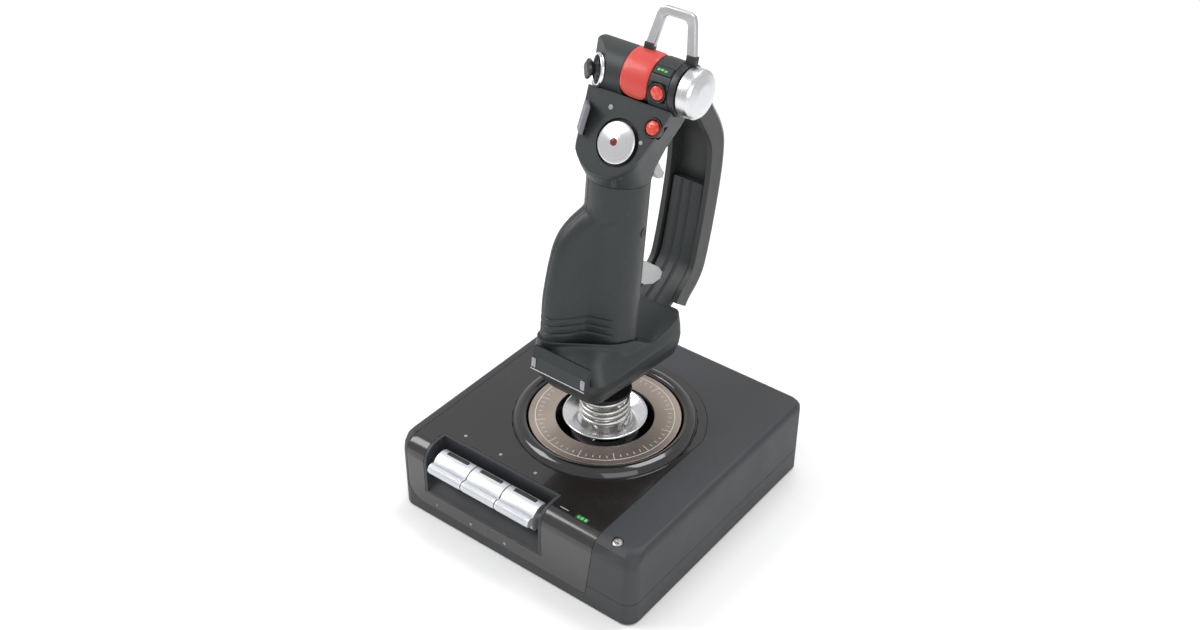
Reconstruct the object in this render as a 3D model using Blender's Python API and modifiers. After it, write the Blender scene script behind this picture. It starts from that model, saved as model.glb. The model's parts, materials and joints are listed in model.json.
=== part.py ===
"""Flight joystick: a weighted base with a sprung two-axis gimbal and a twisting, adjustable grip.

Metres, +Z up. The origin is on the desk under the gimbal, +X is the user's right and -Y faces
the user. The grip leans forward, so its pieces are modelled in an upright grip frame (u across,
v forward, w along the grip) that one empty leans and lifts into place.
"""
import math

import bmesh
import bpy
import numpy as np
from mathutils import Matrix, Vector

MM = 0.001
GAP = 0.3 * MM
STEPS = 32

# Base
BASE_WIDTH = 185 * MM
BASE_DEPTH = 190.7 * MM
BASE_HEIGHT = 54.6 * MM
TRAY_BOTTOM = 1.0 * MM
SPLIT_HEIGHT = 16.6 * MM
CORNER_RADIUS = 9 * MM
SIDE_ROUND = 4 * MM
FRONT_ROUND = 11 * MM
PANEL_THICKNESS = 1.5 * MM
SHELL_WALL = 2.2 * MM
PANEL_SIDE_MARGIN = 7.4 * MM
PANEL_RIGHT = 62.6 * MM
PANEL_ARC = 65.6 * MM
PANEL_BOTTOM = 9 * MM
FOOT_RADIUS = 9 * MM
FOOT_HEIGHT = 2.6 * MM
FOOT_INSET = 18 * MM
SCREW_INSET = Vector((18 * MM, 10.3 * MM))
SCREW_HEAD_RADIUS = 3.4 * MM
GLAND_LENGTH = 3.9 * MM

# Toggle bank
TOGGLE_COUNT = 3
TOGGLE_PITCH = 27.3 * MM
TOGGLE_WIDTH = 26.4 * MM
TOGGLE_MIDDLE = -23.2 * MM
TOGGLE_BACK = 20.5 * MM
TOGGLE_SILL = 20 * MM
TOGGLE_SIDE_ROOM = 6.5 * MM
BEZEL_WALL = 2 * MM
AXLE_INSET = 9.5 * MM
AXLE_HEIGHT = 41 * MM
AXLE_RADIUS = 1.5 * MM
TOGGLE_RADIUS = 9.2 * MM
BAR_RADIUS = 3.4 * MM

# Gimbal
PIVOT_HEIGHT = 44 * MM
RING_OUTER = 59.6 * MM
RING_CREST = 5.2 * MM
PLATE_OUTER = 49.1 * MM
WELL_RADIUS = 31.7 * MM
WELL_WALL = 3.5 * MM
PLATE_THICKNESS = 1.4 * MM
PLATE_RISE = 2.6 * MM
DISH_RADIUS = 27.4 * MM
DISH_RISE = 5.7 * MM
DISH_WALL = 1.8 * MM
DISH_SEAT_RADIUS = 17.5 * MM
GIMBAL_RING_OUTER = 22 * MM
GIMBAL_RING_INNER = 16.5 * MM
GIMBAL_RING_HALF = 3.3 * MM
TRUNNION_RADIUS = 2.2 * MM
SHAFT_RADIUS = 8 * MM
SHAFT_TOP = 150 * MM
SPRING_RADIUS = 15 * MM
SPRING_WIRE = 1.4 * MM
SPRING_TURNS = 4
COLLAR_HEIGHT = 78.4 * MM
COLLAR_THICKNESS = 2 * MM

# Grip frame
LEAN = math.radians(6)
GRIP_FOOT = Vector((0, -5 * MM, 80 * MM))
COLUMN_RADIUS = 19 * MM
GRIP_WALL = 3 * MM
GRIP_BOTTOM = 26.5 * MM
GRIP_TOP = 150 * MM
SEAM_ANGLE = math.radians(-120)
FLANGE_RADIUS = 8 * MM
POCKET_CLEARANCE = 0.7 * MM

# Head
BARREL_CENTRE = Vector((8 * MM, 211 * MM))
BARREL_RADIUS = 15.3 * MM
BARREL_LEFT = -28 * MM
BARREL_RIGHT = 31.8 * MM
JOURNAL_RADIUS = 11.7 * MM
COLLAR_WIDTH = 4.2 * MM
KNOB_LENGTH = 10.5 * MM
KNOB_RADIUS = 14.4 * MM
FACE_TILT = math.radians(24.6)
FACE_POINT = Vector((7 * MM, -14.6 * MM, 177.4 * MM))
FACE_THICKNESS = 2.2 * MM
HAT_RADIUS = 12.4 * MM
HAT_SWING = 1.6 * MM
HAT_DEPTH = 6 * MM
SMALL_HAT_RADIUS = 9.8 * MM
BUTTON_RADIUS = 4.3 * MM
BUTTON_BEZEL = 5.6 * MM
COVER_LEFT = 0 * MM
COVER_WIDTH = 18.5 * MM
COVER_ANGLES = (78, 208)
COVER_STEP = 1.4 * MM
COVER_WALL = 1.8 * MM
BAIL_MIDDLE = 20.5 * MM
BAIL_FOOT_HALF = 14.6 * MM
BAIL_TOP_HALF = 10.4 * MM
BAIL_HEIGHT = 25 * MM
BAIL_LEAN = math.radians(9)
BAIL_WIDTH = 5 * MM
BAIL_THICKNESS = 3.6 * MM
BUTTON_TRAVEL = 1.2 * MM

# Guard, hand rest and levers
GUARD_HALF = 16.5 * MM
GUARD_WALL = 3 * MM
GUARD_DEPTH = 12.5 * MM
GUARD_LINE = ((24.2, 202), (45, 199.5), (61, 189), (72.5, 175.5), (81, 164.5), (87, 152.5), (88.9, 137),
              (88.7, 121), (86.8, 97.6), (83.6, 74), (80.4, 61), (74.7, 52.5), (67.8, 46), (64.3, 40.8))
TRIM_THICKNESS = 1.5 * MM
TONGUE_HALF = 12.4 * MM
TONGUE_THICKNESS = 4.6 * MM
CHANNEL_GAP = 0.6 * MM
REST_BOTTOM = 3.5 * MM
REST_RIM = 46 * MM
REST_SCOOP = ((17, 36.2), (30, 38.5), (40, 42), (50, 47), (59, 54), (66, 61), (70.8, 69.5), (76.5, 121))
TRIGGER_PIVOT = Vector((16 * MM, 162 * MM))
TRIGGER_HALF = 5.5 * MM
PINKIE_PIVOT = Vector((15.5 * MM, 85 * MM))
PINKIE_HALF = 6.5 * MM
LATCH_PIVOT = Vector((-41.9 * MM, 42 * MM))
LATCH_HALF = 21 * MM

for old in list(bpy.data.objects):
    bpy.data.objects.remove(old, do_unlink=True)

PARTS = bpy.data.collections.new("flight_joystick")
CUTTERS = bpy.data.collections.new("cutters")
bpy.context.scene.collection.children.link(PARTS)
bpy.context.scene.collection.children.link(CUTTERS)


# Materials ------------------------------------------------------------------------------------

def finish(name, colour, roughness, metallic=0.0):
    """A Principled material with one colour."""
    made = bpy.data.materials.new(name)
    made.use_nodes = True
    shader = made.node_tree.nodes["Principled BSDF"]
    shader.inputs["Base Color"].default_value = (*colour, 1)
    shader.inputs["Roughness"].default_value = roughness
    shader.inputs["Metallic"].default_value = metallic
    return made


SHELL = finish("charcoal_shell", (0.075, 0.08, 0.088), 0.55)
PANEL = finish("gloss_panel", (0.03, 0.027, 0.026), 0.18)
BLACK = finish("black_plastic", (0.018, 0.019, 0.02), 0.35)
GRIP = finish("grip_plastic", (0.05, 0.058, 0.062), 0.5)
SILVER = finish("silver_plastic", (0.62, 0.63, 0.65), 0.3, 0.7)
STEEL = finish("steel", (0.6, 0.59, 0.57), 0.25, 1.0)
WARM_METAL = finish("warm_metal", (0.42, 0.38, 0.35), 0.4, 0.8)
CHROME = finish("chrome", (0.8, 0.8, 0.82), 0.1, 1.0)
RED = finish("red_cover", (0.75, 0.11, 0.09), 0.4)
AMBER = finish("lit_button", (0.9, 0.13, 0.03), 0.2)
GREEN = finish("status_green", (0.05, 0.6, 0.1), 0.3)
RUBBER = finish("rubber", (0.02, 0.02, 0.02), 0.8)
BOARD = finish("circuit_board", (0.03, 0.2, 0.08), 0.5)
GREY_PAD = finish("grey_pad", (0.12, 0.12, 0.14), 0.5)


# Tools ----------------------------------------------------------------------------------------

MANY_CUTS = ("head_shell", "hand_rest")


def placed(name, mesh, coat, parent=None):
    """A new object in the parts' collection, or in the cutters' when it has no finish."""
    made = bpy.data.objects.new(name, mesh)
    if coat is None:
        CUTTERS.objects.link(made)
        made.hide_render = True
        made.display_type = "WIRE"
    else:
        PARTS.objects.link(made)
        mesh.materials.append(coat)
    made.parent = parent
    return made


def mesh_of(name, bm):
    """A mesh from a bmesh, its normals out and its round parts smooth."""
    bmesh.ops.recalc_face_normals(bm, faces=bm.faces)
    mesh = bpy.data.meshes.new(name)
    bm.to_mesh(mesh)
    bm.free()
    mesh.shade_smooth()
    mesh.set_sharp_from_angle(angle=math.radians(35))
    return mesh


def box(name, low, high, coat=None, parent=None, rounding=0.0):
    """A block between two corners, its edges rounded by a bevel."""
    bm = bmesh.new()
    size = Vector(high) - Vector(low)
    middle = (Vector(high) + Vector(low)) / 2
    bmesh.ops.create_cube(bm, size=1, matrix=Matrix.Translation(middle) @ Matrix.Diagonal((*size, 1)))
    made = placed(name, mesh_of(name, bm), coat, parent)
    if rounding:
        bevel = made.modifiers.new("rounding", "BEVEL")
        bevel.width = rounding
        bevel.segments = 2
    return made


def rod(name, start, end, radius, coat=None, parent=None, end_radius=None, steps=20):
    """A cylinder or cone from one point to another."""
    start = Vector(start)
    along = Vector(end) - start
    turn = along.to_track_quat("Z", "Y").to_matrix().to_4x4()
    bm = bmesh.new()
    bmesh.ops.create_cone(
        bm, cap_ends=True, segments=steps, radius1=radius,
        radius2=radius if end_radius is None else end_radius, depth=along.length,
        matrix=Matrix.Translation(start + along / 2) @ turn)
    return placed(name, mesh_of(name, bm), coat, parent)


def turned(name, profile, coat=None, parent=None, place=None, steps=STEPS, ring=False):
    """A turned piece: (radius, height) down its outer side, from axis to axis or as a closed ring."""
    mesh = bpy.data.meshes.new(name)
    count = len(profile)
    edges = [(i, i + 1) for i in range(count - 1)]
    if ring:
        edges.append((count - 1, 0))
    mesh.from_pydata([(radius, 0, height) for radius, height in profile], edges, [])
    made = placed(name, mesh, coat, parent)
    screw = made.modifiers.new("turning", "SCREW")
    screw.steps = steps
    screw.render_steps = steps
    screw.use_merge_vertices = True
    screw.merge_threshold = 0.00001
    screw.use_smooth_shade = True
    if place is not None:
        made.matrix_local = place
    return made


def slab(name, outline, low, high, coat=None, parent=None, along="X"):
    """A flat outline extruded between two levels: (v, w) points along X, or (x, y) along Z."""
    bm = bmesh.new()
    if along == "X":
        corners = [bm.verts.new((low, a, b)) for a, b in outline]
        travel = Vector((high - low, 0, 0))
    else:
        corners = [bm.verts.new((a, b, low)) for a, b in outline]
        travel = Vector((0, 0, high - low))
    face = bm.faces.new(corners)
    grown = bmesh.ops.extrude_face_region(bm, geom=[face])["geom"]
    moved = [item for item in grown if isinstance(item, bmesh.types.BMVert)]
    bmesh.ops.translate(bm, vec=travel, verts=moved)
    return placed(name, mesh_of(name, bm), coat, parent)


def loft(name, rings, coat=None, parent=None):
    """A skin over a stack of rings with the same number of points, closed by a face at each end."""
    rings = [np.asarray(ring, float) for ring in rings]
    count = len(rings[0])
    bm = bmesh.new()
    rows = [[bm.verts.new(point) for point in ring] for ring in rings]
    for lower, upper in zip(rows, rows[1:]):
        for i in range(count):
            j = (i + 1) % count
            bm.faces.new((lower[i], lower[j], upper[j], upper[i]))
    bm.faces.new(rows[0][::-1])
    bm.faces.new(rows[-1])
    return placed(name, mesh_of(name, bm), coat, parent)


def wrap(circles, level, count=STEPS, grow=0.0):
    """A ring at one level round a set of circles (across, forward, radius), as a taut belt."""
    angles = np.arange(count) * 2 * math.pi / count
    facing = np.stack([np.cos(angles), np.sin(angles)], 1)
    centres = np.array([circle[:2] for circle in circles])
    radii = np.array([circle[2] for circle in circles]) + grow
    widest = np.argmax(facing @ centres.T + radii, axis=1)
    points = centres[widest] + facing * radii[widest, None]
    return np.column_stack([points, np.full(count, level)])


def rounded_rectangle(left, right, front, back, radius, level, count=STEPS):
    """A ring of a rectangle with round corners, which are circles that a belt goes round."""
    corners = [(x, y, radius) for x in (left + radius, right - radius)
               for y in (front + radius, back - radius)]
    return wrap(corners, level, count)


def apply_boolean(target, tool, operation):
    """A live Boolean between two pieces; the tool is kept as a wire guide."""
    change = target.modifiers.new(operation.lower(), "BOOLEAN")
    change.operation = operation
    change.object = tool
    if target.name in MANY_CUTS:
        change.solver = "MANIFOLD"
    if tool.name not in CUTTERS.objects:
        PARTS.objects.unlink(tool)
        CUTTERS.objects.link(tool)
        tool.hide_render = True
        tool.display_type = "WIRE"
    return target


def cut(target, *tools):
    for tool in tools:
        apply_boolean(target, tool, "DIFFERENCE")
    return target


def fuse(target, *tools):
    for tool in tools:
        apply_boolean(target, tool, "UNION")
    return target


def keep(target, tool):
    return apply_boolean(target, tool, "INTERSECT")


def as_part(form, name, coat, parent=None):
    """Moves a form made as a guide into the parts' collection, with a name and a finish."""
    form.name = name
    form.data.materials.append(coat)
    form.parent = parent
    CUTTERS.objects.unlink(form)
    PARTS.objects.link(form)
    form.hide_render = False
    form.display_type = "TEXTURED"
    return form


def facing(point, direction):
    """A frame at a point whose Z looks along a direction."""
    return Matrix.Translation(point) @ Vector(direction).to_track_quat("Z", "Y").to_matrix().to_4x4()


def block_in(name, frame, low, high, coat=None, parent=None, rounding=0.0):
    """A block in a tilted frame."""
    made = box(name, low, high, coat, parent, rounding)
    made.matrix_local = frame
    return made


# Base -----------------------------------------------------------------------------------------

def base_form(name, inset, bottom, top_inset):
    """The base's outer form, moved in by an inset: round at the corners, the sides' top and the front."""
    half = BASE_WIDTH / 2 - inset
    front = -BASE_DEPTH / 2 + inset
    back = BASE_DEPTH / 2 - inset
    top = BASE_HEIGHT - top_inset
    side = max(SIDE_ROUND - inset, 1 * MM)
    nose = max(FRONT_ROUND - inset, 1.5 * MM)
    corner = max(CORNER_RADIUS - inset, 2 * MM)
    levels = [bottom] + [top - nose + nose * math.sin(math.radians(a)) for a in (0, 25, 48, 70, 90)]
    rings = []
    for level in levels:
        rise = max(level - (top - side), 0)
        lean_side = side - math.sqrt(max(side ** 2 - rise ** 2, 0))
        climb = max(level - (top - nose), 0)
        lean_front = nose - math.sqrt(max(nose ** 2 - climb ** 2, 0))
        rings.append(rounded_rectangle(-half + lean_side, half - lean_side, front + lean_front,
                                       back - lean_side, corner, level, 40))
    return loft(name, rings)


def panel_outline(grow):
    """The gloss panel from above: straight sides and an arc round the gimbal, corners rounded."""
    left = -BASE_WIDTH / 2 + PANEL_SIDE_MARGIN - grow
    right = PANEL_RIGHT + grow
    radius = PANEL_ARC + grow
    front = -BASE_DEPTH / 2 - 5 * MM
    start = -math.asin(min(math.sqrt(1 - (right / radius) ** 2), 1))
    arc = [(radius * math.cos(a), radius * math.sin(a)) for a in np.linspace(start, math.pi / 2, 16)]
    corner = 12 * MM
    bend = [(left + corner - corner * math.sin(a), radius - corner + corner * math.cos(a))
            for a in np.linspace(0, math.pi / 2, 6)]
    return [(right, front)] + arc + bend + [(left, front)]


def panel_front(grow):
    """The gloss panel from the front: its lower corners are rounded, the left one more."""
    left = -BASE_WIDTH / 2 + PANEL_SIDE_MARGIN - grow
    right = PANEL_RIGHT - 4 * MM + grow
    low = PANEL_BOTTOM - grow
    big = 12 * MM
    small = 3 * MM
    high = BASE_HEIGHT + 5 * MM
    left_bend = [(left + big - big * math.cos(a), low + big - big * math.sin(a))
                 for a in np.linspace(0, math.pi / 2, 6)]
    right_bend = [(right - small + small * math.sin(a), low + small - small * math.cos(a))
                  for a in np.linspace(0, math.pi / 2, 4)]
    shoulder = (right + 4 * MM, BASE_HEIGHT - FRONT_ROUND)
    return left_bend + right_bend + [shoulder, (right + 4 * MM, high), (left, high)]


def panel_region(name, grow):
    """The space of the gloss panel: its outline from above met by its outline from the front."""
    above = slab(name + "_above", panel_outline(grow), 0, BASE_HEIGHT + 5 * MM, None, None, "Z")
    front = slab(name, [(z, x) for x, z in panel_front(grow)], -BASE_DEPTH, BASE_DEPTH)
    front.matrix_local = Matrix(((0, 0, 1, 0), (1, 0, 0, 0), (0, 1, 0, 0), (0, 0, 0, 1)))
    return keep(front, above)


def toggle_space(name, grow):
    """The block that the toggle bank takes out of the base, to the front and the top."""
    half = TOGGLE_PITCH * TOGGLE_COUNT / 2 + TOGGLE_SIDE_ROOM + grow
    back = -BASE_DEPTH / 2 + TOGGLE_BACK + grow
    return box(name, (TOGGLE_MIDDLE - half, -BASE_DEPTH, TOGGLE_SILL - grow),
               (TOGGLE_MIDDLE + half, back, BASE_HEIGHT + 10 * MM))


def foot_places():
    x = BASE_WIDTH / 2 - FOOT_INSET
    y = BASE_DEPTH / 2 - FOOT_INSET
    return [(-x, -y), (x, -y), (-x, y), (x, y)]


def make_base():
    """Tray, shell, gloss panel, weights, feet and board."""
    recess = panel_region("panel_recess", GAP)
    cut(recess, base_form("panel_floor", PANEL_THICKNESS + GAP, -5 * MM, PANEL_THICKNESS + GAP))

    tray = as_part(base_form("tray_form", 0, TRAY_BOTTOM, 0), "base_tray", SHELL)
    wall = PANEL_THICKNESS + GAP + SHELL_WALL
    wide = BASE_WIDTH
    cut(tray, box("above_split", (-wide, -wide, SPLIT_HEIGHT), (wide, wide, wide)),
        base_form("tray_hollow", wall, TRAY_BOTTOM + 3 * MM, wall), recess)
    for i, (x, y) in enumerate(foot_places()):
        cut(tray, rod(f"foot_pocket_{i + 1}", (x, y, -1 * MM), (x, y, FOOT_HEIGHT + GAP), FOOT_RADIUS + GAP))
    gland_height = (TRAY_BOTTOM + SPLIT_HEIGHT) / 2 + 0.5 * MM
    back = BASE_DEPTH / 2
    cut(tray, rod("gland_hole", (0, back - 10 * MM, gland_height), (0, back + 5 * MM, gland_height), 4.3 * MM))

    shell = as_part(base_form("shell_form", 0, SPLIT_HEIGHT + GAP, 0), "base_shell", SHELL)
    opening = PLATE_OUTER + 0.9 * MM
    screw_x = BASE_WIDTH / 2 - SCREW_INSET.x
    screw_y = -BASE_DEPTH / 2 + SCREW_INSET.y
    deck = BASE_HEIGHT
    cut(shell, base_form("shell_hollow", wall, SPLIT_HEIGHT - 5 * MM, wall), recess,
        rod("ring_opening", (0, 0, deck - 10 * MM), (0, 0, deck + 5 * MM), opening, steps=STEPS),
        toggle_space("toggle_opening", GAP),
        rod("screw_sink", (screw_x, screw_y, deck - 2.2 * MM), (screw_x, screw_y, deck + 2 * MM),
            SCREW_HEAD_RADIUS + GAP))

    panel = as_part(panel_region("panel_form", 0), "panel_insert", PANEL)
    keep(panel, base_form("panel_skin", 0, -5 * MM, 0))
    cut(panel, base_form("panel_under", PANEL_THICKNESS, -6 * MM, PANEL_THICKNESS),
        rod("panel_ring_hole", (0, 0, deck - 10 * MM), (0, 0, deck + 5 * MM), RING_OUTER + GAP, steps=STEPS),
        toggle_space("panel_toggle_hole", GAP))

    for i, (x, y) in enumerate(foot_places()):
        turned(f"rubber_foot_{i + 1}", [(0, FOOT_HEIGHT), (FOOT_RADIUS, FOOT_HEIGHT), (FOOT_RADIUS, 0.6 * MM),
                                        (FOOT_RADIUS - 0.6 * MM, 0), (0, 0)],
               RUBBER, None, Matrix.Translation((x, y, 0)), 16)
    screw = turned("top_screw", [(0, deck - 0.6 * MM), (SCREW_HEAD_RADIUS - 0.8 * MM, deck - 0.6 * MM),
                                 (SCREW_HEAD_RADIUS, deck - 1.2 * MM), (SCREW_HEAD_RADIUS, deck - 1.9 * MM),
                                 (0, deck - 1.9 * MM)],
                   STEEL, None, Matrix.Translation((screw_x, screw_y, 0)), 16)
    cut(screw, block_in("screw_slot", Matrix.Translation((screw_x, screw_y, deck)),
                        (-2.4 * MM, -0.5 * MM, -1.3 * MM), (2.4 * MM, 0.5 * MM, 1 * MM)))

    floor = TRAY_BOTTOM + 3 * MM + GAP
    inner = BASE_WIDTH / 2 - wall - 2 * MM
    for side, name in ((-1, "weight_plate_left"), (1, "weight_plate_right")):
        edges = sorted((side * 45 * MM, side * inner))
        box(name, (edges[0], -60 * MM, floor), (edges[1], 60 * MM, floor + 8 * MM), STEEL, None, 1 * MM)
    rear = BASE_DEPTH / 2 - wall
    box("main_circuit_board", (-55 * MM, rear - 32 * MM, floor + 14 * MM),
        (55 * MM, rear - 3 * MM, floor + 15.6 * MM), BOARD)
    turned("cable_gland", [(5.5 * MM, GLAND_LENGTH), (5.5 * MM, 0.3 * MM), (4 * MM, 0.3 * MM),
                           (4 * MM, -4.5 * MM), (2.2 * MM, -4.5 * MM), (2.2 * MM, GLAND_LENGTH)],
           RUBBER, None, facing((0, back, gland_height), (0, 1, 0)), 16, True)


# Toggle bank ----------------------------------------------------------------------------------

def make_toggles():
    """The matte recess, its axle and the rocking toggles with their finger bars."""
    front = -BASE_DEPTH / 2
    half = TOGGLE_PITCH * TOGGLE_COUNT / 2 + TOGGLE_SIDE_ROOM
    back = front + TOGGLE_BACK
    bezel = as_part(base_form("bezel_form", 0, 0, 0), "toggle_bezel", SHELL)
    keep(bezel, toggle_space("bezel_block", 0))
    ledge = TOGGLE_SILL + 11 * MM
    hollow = [(front - 5 * MM, TOGGLE_SILL + 1 * MM), (front + 1 * MM, TOGGLE_SILL + 1 * MM),
              (front + 7 * MM, ledge), (front + 9.5 * MM, ledge - 6 * MM), (back - BEZEL_WALL, ledge - 6 * MM),
              (back - BEZEL_WALL, BASE_HEIGHT + 8 * MM), (front - 5 * MM, BASE_HEIGHT + 8 * MM)]
    inner = half - BEZEL_WALL
    cut(bezel, slab("bezel_hollow", hollow, TOGGLE_MIDDLE - inner, TOGGLE_MIDDLE + inner))
    axle_y = front + AXLE_INSET
    rod("toggle_axle", (TOGGLE_MIDDLE - inner + GAP, axle_y, AXLE_HEIGHT),
        (TOGGLE_MIDDLE + inner - GAP, axle_y, AXLE_HEIGHT), AXLE_RADIUS, STEEL, None, None, 16)
    outline = [(axle_y + TOGGLE_RADIUS * math.cos(a), AXLE_HEIGHT + TOGGLE_RADIUS * math.sin(a))
               for a in np.linspace(math.radians(62), math.radians(232), 16)]
    outline.append((axle_y + 3.5 * MM, AXLE_HEIGHT - 3.5 * MM))
    bar_y = axle_y - TOGGLE_RADIUS - 0.8 * MM
    bar_z = AXLE_HEIGHT + 2.6 * MM
    for i in range(TOGGLE_COUNT):
        middle = TOGGLE_MIDDLE + (i - (TOGGLE_COUNT - 1) / 2) * TOGGLE_PITCH
        left = middle - TOGGLE_WIDTH / 2
        right = middle + TOGGLE_WIDTH / 2
        toggle = slab(f"toggle_{i + 1}", outline, left, right, SILVER)
        fuse(toggle, rod(f"toggle_bar_{i + 1}", (left, bar_y, bar_z), (right, bar_y, bar_z), BAR_RADIUS,
                         steps=20))
        cut(toggle, rod(f"toggle_bore_{i + 1}", (left - 5 * MM, axle_y, AXLE_HEIGHT),
                        (right + 5 * MM, axle_y, AXLE_HEIGHT), AXLE_RADIUS + GAP, steps=16))


# Gimbal ---------------------------------------------------------------------------------------

def make_gimbal():
    """The fixed rings, the housing on its pedestal, and the two-axis gimbal with its shaft."""
    deck = BASE_HEIGHT
    ledge = deck - PANEL_THICKNESS + GAP
    crest = deck + RING_CREST
    turned("gloss_ring", [(54 * MM, crest), (57.4 * MM, crest - 1.6 * MM), (RING_OUTER, deck + 0.4 * MM),
                          (RING_OUTER, ledge), (PLATE_OUTER + 0.6 * MM, ledge),
                          (PLATE_OUTER + 0.6 * MM, deck + 1.6 * MM), (51.5 * MM, crest - 0.6 * MM)],
           PANEL, None, None, 44, True)
    plate_top = deck + PLATE_RISE
    plate_low = plate_top - PLATE_THICKNESS
    turned("gimbal_plate", [(PLATE_OUTER, plate_top), (PLATE_OUTER, plate_low),
                            (WELL_RADIUS + 0.1 * MM, plate_low), (WELL_RADIUS + 0.1 * MM, plate_top)],
           WARM_METAL, None, None, 44, True)
    flange_low = plate_low - GAP - 2.5 * MM
    bottom = 22 * MM
    housing = turned("gimbal_housing", [(PLATE_OUTER - 0.6 * MM, plate_low - GAP),
                                        (PLATE_OUTER - 0.6 * MM, flange_low),
                                        (WELL_RADIUS + WELL_WALL, flange_low),
                                        (WELL_RADIUS + WELL_WALL, bottom), (WELL_RADIUS, bottom),
                                        (WELL_RADIUS, plate_low - GAP)],
                     BLACK, None, None, 36, True)
    reach = WELL_RADIUS + WELL_WALL
    cut(housing, rod("trunnion_bore", (-reach - 5 * MM, 0, PIVOT_HEIGHT), (reach + 5 * MM, 0, PIVOT_HEIGHT),
                     TRUNNION_RADIUS + GAP, steps=20))
    floor = TRAY_BOTTOM + 3 * MM + GAP
    turned("gimbal_pedestal", [(reach, bottom - GAP), (reach, floor + 3 * MM), (reach + 5 * MM, floor + 3 * MM),
                               (reach + 5 * MM, floor), (WELL_RADIUS - 1 * MM, floor),
                               (WELL_RADIUS - 1 * MM, bottom - GAP)],
           BLACK, None, None, 28, True)
    box("tilt_sensor_board", (-16 * MM, -16 * MM, floor + 3 * MM), (16 * MM, 16 * MM, floor + 4.6 * MM), BOARD)

    ring = turned("gimbal_ring", [(GIMBAL_RING_OUTER, PIVOT_HEIGHT + GIMBAL_RING_HALF),
                                  (GIMBAL_RING_OUTER, PIVOT_HEIGHT - GIMBAL_RING_HALF),
                                  (GIMBAL_RING_INNER, PIVOT_HEIGHT - GIMBAL_RING_HALF),
                                  (GIMBAL_RING_INNER, PIVOT_HEIGHT + GIMBAL_RING_HALF)],
                  SILVER, None, None, 28, True)
    inside = (GIMBAL_RING_INNER + GIMBAL_RING_OUTER) / 2
    for side in (-1, 1):
        fuse(ring, rod(f"ring_trunnion_{side + 1}", (side * inside, 0, PIVOT_HEIGHT),
                       (side * (WELL_RADIUS + 2 * MM), 0, PIVOT_HEIGHT), TRUNNION_RADIUS, steps=20))
    cut(ring, rod("hub_bore", (0, -40 * MM, PIVOT_HEIGHT), (0, 40 * MM, PIVOT_HEIGHT),
                  TRUNNION_RADIUS + GAP, steps=20))

    hub_top = deck + DISH_RISE - 9.2 * MM
    shaft = turned("stick_shaft", [(0, SHAFT_TOP), (SHAFT_RADIUS - 1 * MM, SHAFT_TOP),
                                   (SHAFT_RADIUS, SHAFT_TOP - 1 * MM), (SHAFT_RADIUS, hub_top),
                                   (12 * MM, hub_top - 2 * MM), (12 * MM, 38 * MM), (4 * MM, 35 * MM),
                                   (4 * MM, 26 * MM), (0, 26 * MM)],
                   STEEL, None, None, 24)
    reach_hub = GIMBAL_RING_OUTER
    fuse(shaft, rod("hub_trunnions", (0, -reach_hub, PIVOT_HEIGHT), (0, reach_hub, PIVOT_HEIGHT),
                    TRUNNION_RADIUS, steps=20))
    rod("tilt_magnet", (0, 0, 21.5 * MM), (0, 0, 25.7 * MM), 5 * MM, SILVER, None, None, 20)

    rim = deck + DISH_RISE
    seat = rim - 6.3 * MM
    bore = SHAFT_RADIUS + GAP
    turned("centring_dish", [(DISH_RADIUS - 0.7 * MM, rim), (DISH_RADIUS, rim - 0.7 * MM),
                             (DISH_RADIUS, rim - DISH_WALL), (DISH_SEAT_RADIUS, seat - DISH_WALL),
                             (bore, seat - DISH_WALL), (bore, seat), (DISH_SEAT_RADIUS, seat)],
           CHROME, None, None, 40, True)
    turned("spring_collar", [(SPRING_RADIUS + 2 * MM, COLLAR_HEIGHT + COLLAR_THICKNESS),
                             (SPRING_RADIUS + 2 * MM, COLLAR_HEIGHT), (bore, COLLAR_HEIGHT),
                             (bore, COLLAR_HEIGHT + COLLAR_THICKNESS)],
           BLACK, None, None, 24, True)
    make_spring(seat + SPRING_WIRE + GAP, COLLAR_HEIGHT - SPRING_WIRE - GAP)


def make_spring(low, high):
    """The centring spring: a helix of round wire."""
    per_turn = 14
    count = SPRING_TURNS * per_turn + 1
    curve = bpy.data.curves.new("centring_spring", "CURVE")
    curve.dimensions = "3D"
    curve.bevel_depth = SPRING_WIRE
    curve.bevel_resolution = 2
    curve.use_fill_caps = True
    spline = curve.splines.new("POLY")
    spline.points.add(count - 1)
    for i, point in enumerate(spline.points):
        angle = 2 * math.pi * i / per_turn
        height = low + (high - low) * i / (count - 1)
        point.co = (SPRING_RADIUS * math.cos(angle), SPRING_RADIUS * math.sin(angle), height, 1)
    curve.materials.append(STEEL)
    PARTS.objects.link(bpy.data.objects.new("centring_spring", curve))


# Grip -----------------------------------------------------------------------------------------

def grip_circles(level):
    """The grip's section: the round column and the palm flange behind its left side."""
    heights = np.array([26, 73, 93, 108, 118, 126, 134]) * MM
    across = np.interp(level, heights, np.array([-18, -18, -17, -16, -14, -10, -4]) * MM)
    behind = np.interp(level, heights, np.array([-29.6, -29.6, -27.6, -25, -20.5, -13, -5]) * MM)
    return [(0, 0, COLUMN_RADIUS), (across, behind, FLANGE_RADIUS)]


def grip_stack(low, high, grow):
    """Rings of the grip's section between two levels."""
    levels = sorted({low, high, *[z * MM for z in (73, 93, 108, 118, 126, 134) if low < z * MM < high]})
    return [wrap(grip_circles(level), level, STEPS, grow) for level in levels]


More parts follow.
